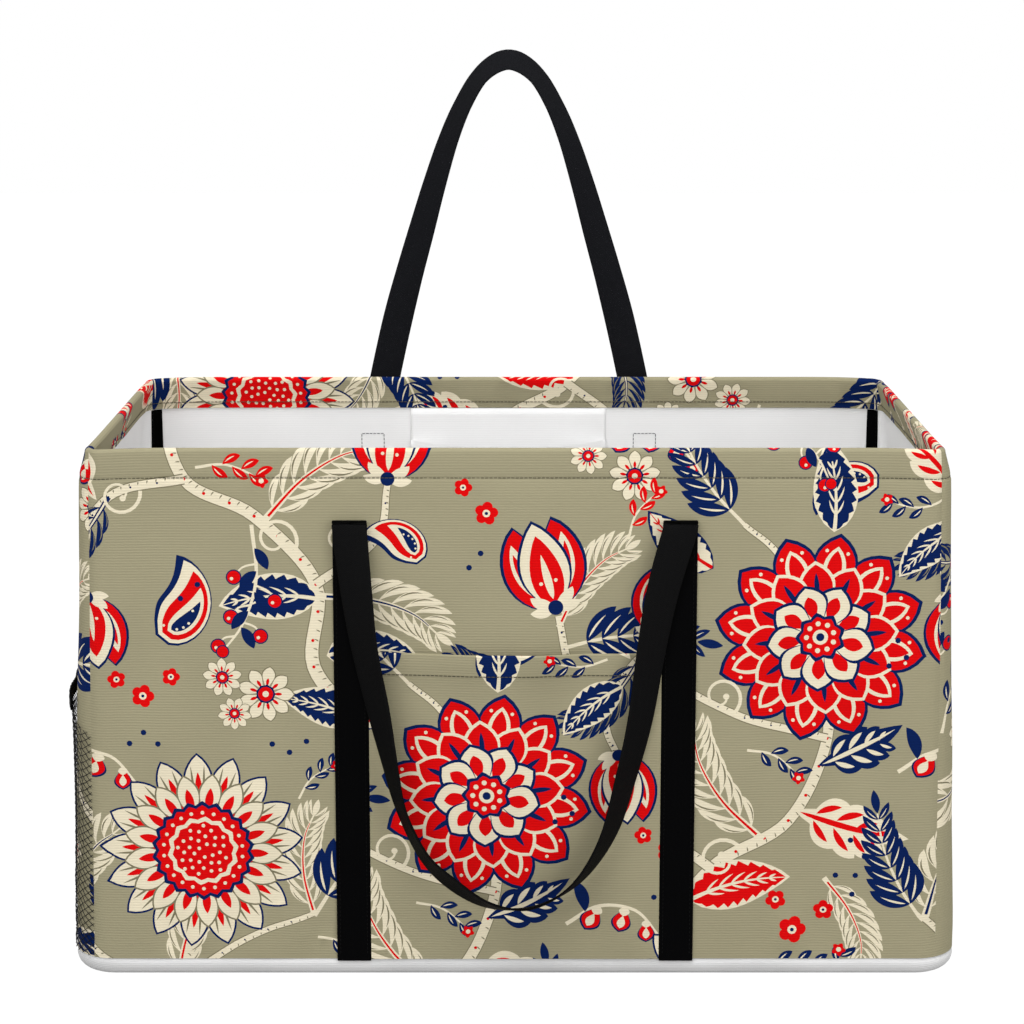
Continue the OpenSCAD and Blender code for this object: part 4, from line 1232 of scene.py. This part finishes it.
stageSet = dict(floor=0.40, floorSize=6, floorZ=-0.0005, glow=1.075, glowShare=0.94, world=0.66)
# place, aim, size and energy
lights = dict(keyLight=((-1.3, -2.5, 1.7), (0, 0, 0.2), (2.2, 1.6), 23.0),
    fillLight=((1.7, -2.4, 0.8), (0, 0, 0.2), (2.0, 1.2), 20.0),
    topLight=((0.0, -0.9, 2.7), (0, 0.1, 0.2), (2.4, 1.6), 45.0))

for name, (place, aim, size, energy) in lights.items():
    lamp = bpy.data.lights.new(name, "AREA")
    lamp.shape, lamp.size, lamp.size_y, lamp.energy = "RECTANGLE", size[0], size[1], energy
    holder = bpy.data.objects.new(name, lamp)
    scene.collection.objects.link(holder)
    toAim = np.array(aim) - np.array(place)
    holder.location = place
    tilt = math.atan2(math.hypot(toAim[0], toAim[1]), -toAim[2])
    holder.rotation_euler = (tilt, 0, math.atan2(-toAim[0], toAim[1]))

# the camera sees a white world, and the rest of the light comes from a dimmer one
world = bpy.data.worlds.new("studio")
scene.world = world
world.use_nodes = True
wire = Wire(world.node_tree)
backdrop = world.node_tree.nodes["Background"]
backdrop.inputs["Color"].default_value = (1, 1, 1, 1)
strength = wire.seen() * (1 - stageSet["world"]) + stageSet["world"]
world.node_tree.links.new(strength.socket, backdrop.inputs["Strength"])

# the floor is seen nearly white, with the shadow of the bag on it
far, low = stageSet["floorSize"], stageSet["floorZ"]
floorMesh = bpy.data.meshes.new("floor")
floorMesh.from_pydata([(-far, -far, low), (far, -far, low), (far, far, low), (-far, far, low)], [], [(0, 1, 2, 3)])
floor = bpy.data.objects.new("floor", floorMesh)
scene.collection.objects.link(floor)
floorPaint, wire, shader = startMaterial("floorPaint")
feed(shader, Base_Color=(stageSet["floor"],) * 3 + (1.0,), Roughness=0.9)
glow = wire.add("ShaderNodeEmission", {}, {"Color": (1, 1, 1, 1), "Strength": stageSet["glow"]})
paint = Wire(wire.tree, shader.outputs[0])
mixed = wire.add("ShaderNodeMixShader", {}, {0: wire.seen() * stageSet["glowShare"], 1: paint, 2: glow})
wire.tree.links.new(mixed.socket, wire.tree.nodes["Material Output"].inputs["Surface"])
floorMesh.materials.append(floorPaint)

cameraSet = dict(place=(-0.0021, -1.8176, 0.7058), tilt=11.32, lens=86.98, sensor=36.0, shiftY=-0.05)
camera = bpy.data.objects.new("camera", bpy.data.cameras.new("camera"))
scene.collection.objects.link(camera)
camera.location = cameraSet["place"]
camera.rotation_euler = (math.radians(90 - cameraSet["tilt"]), 0, 0)
camera.data.lens, camera.data.sensor_width = cameraSet["lens"], cameraSet["sensor"]
camera.data.shift_y = cameraSet["shiftY"]
scene.camera = camera
print("stage made")
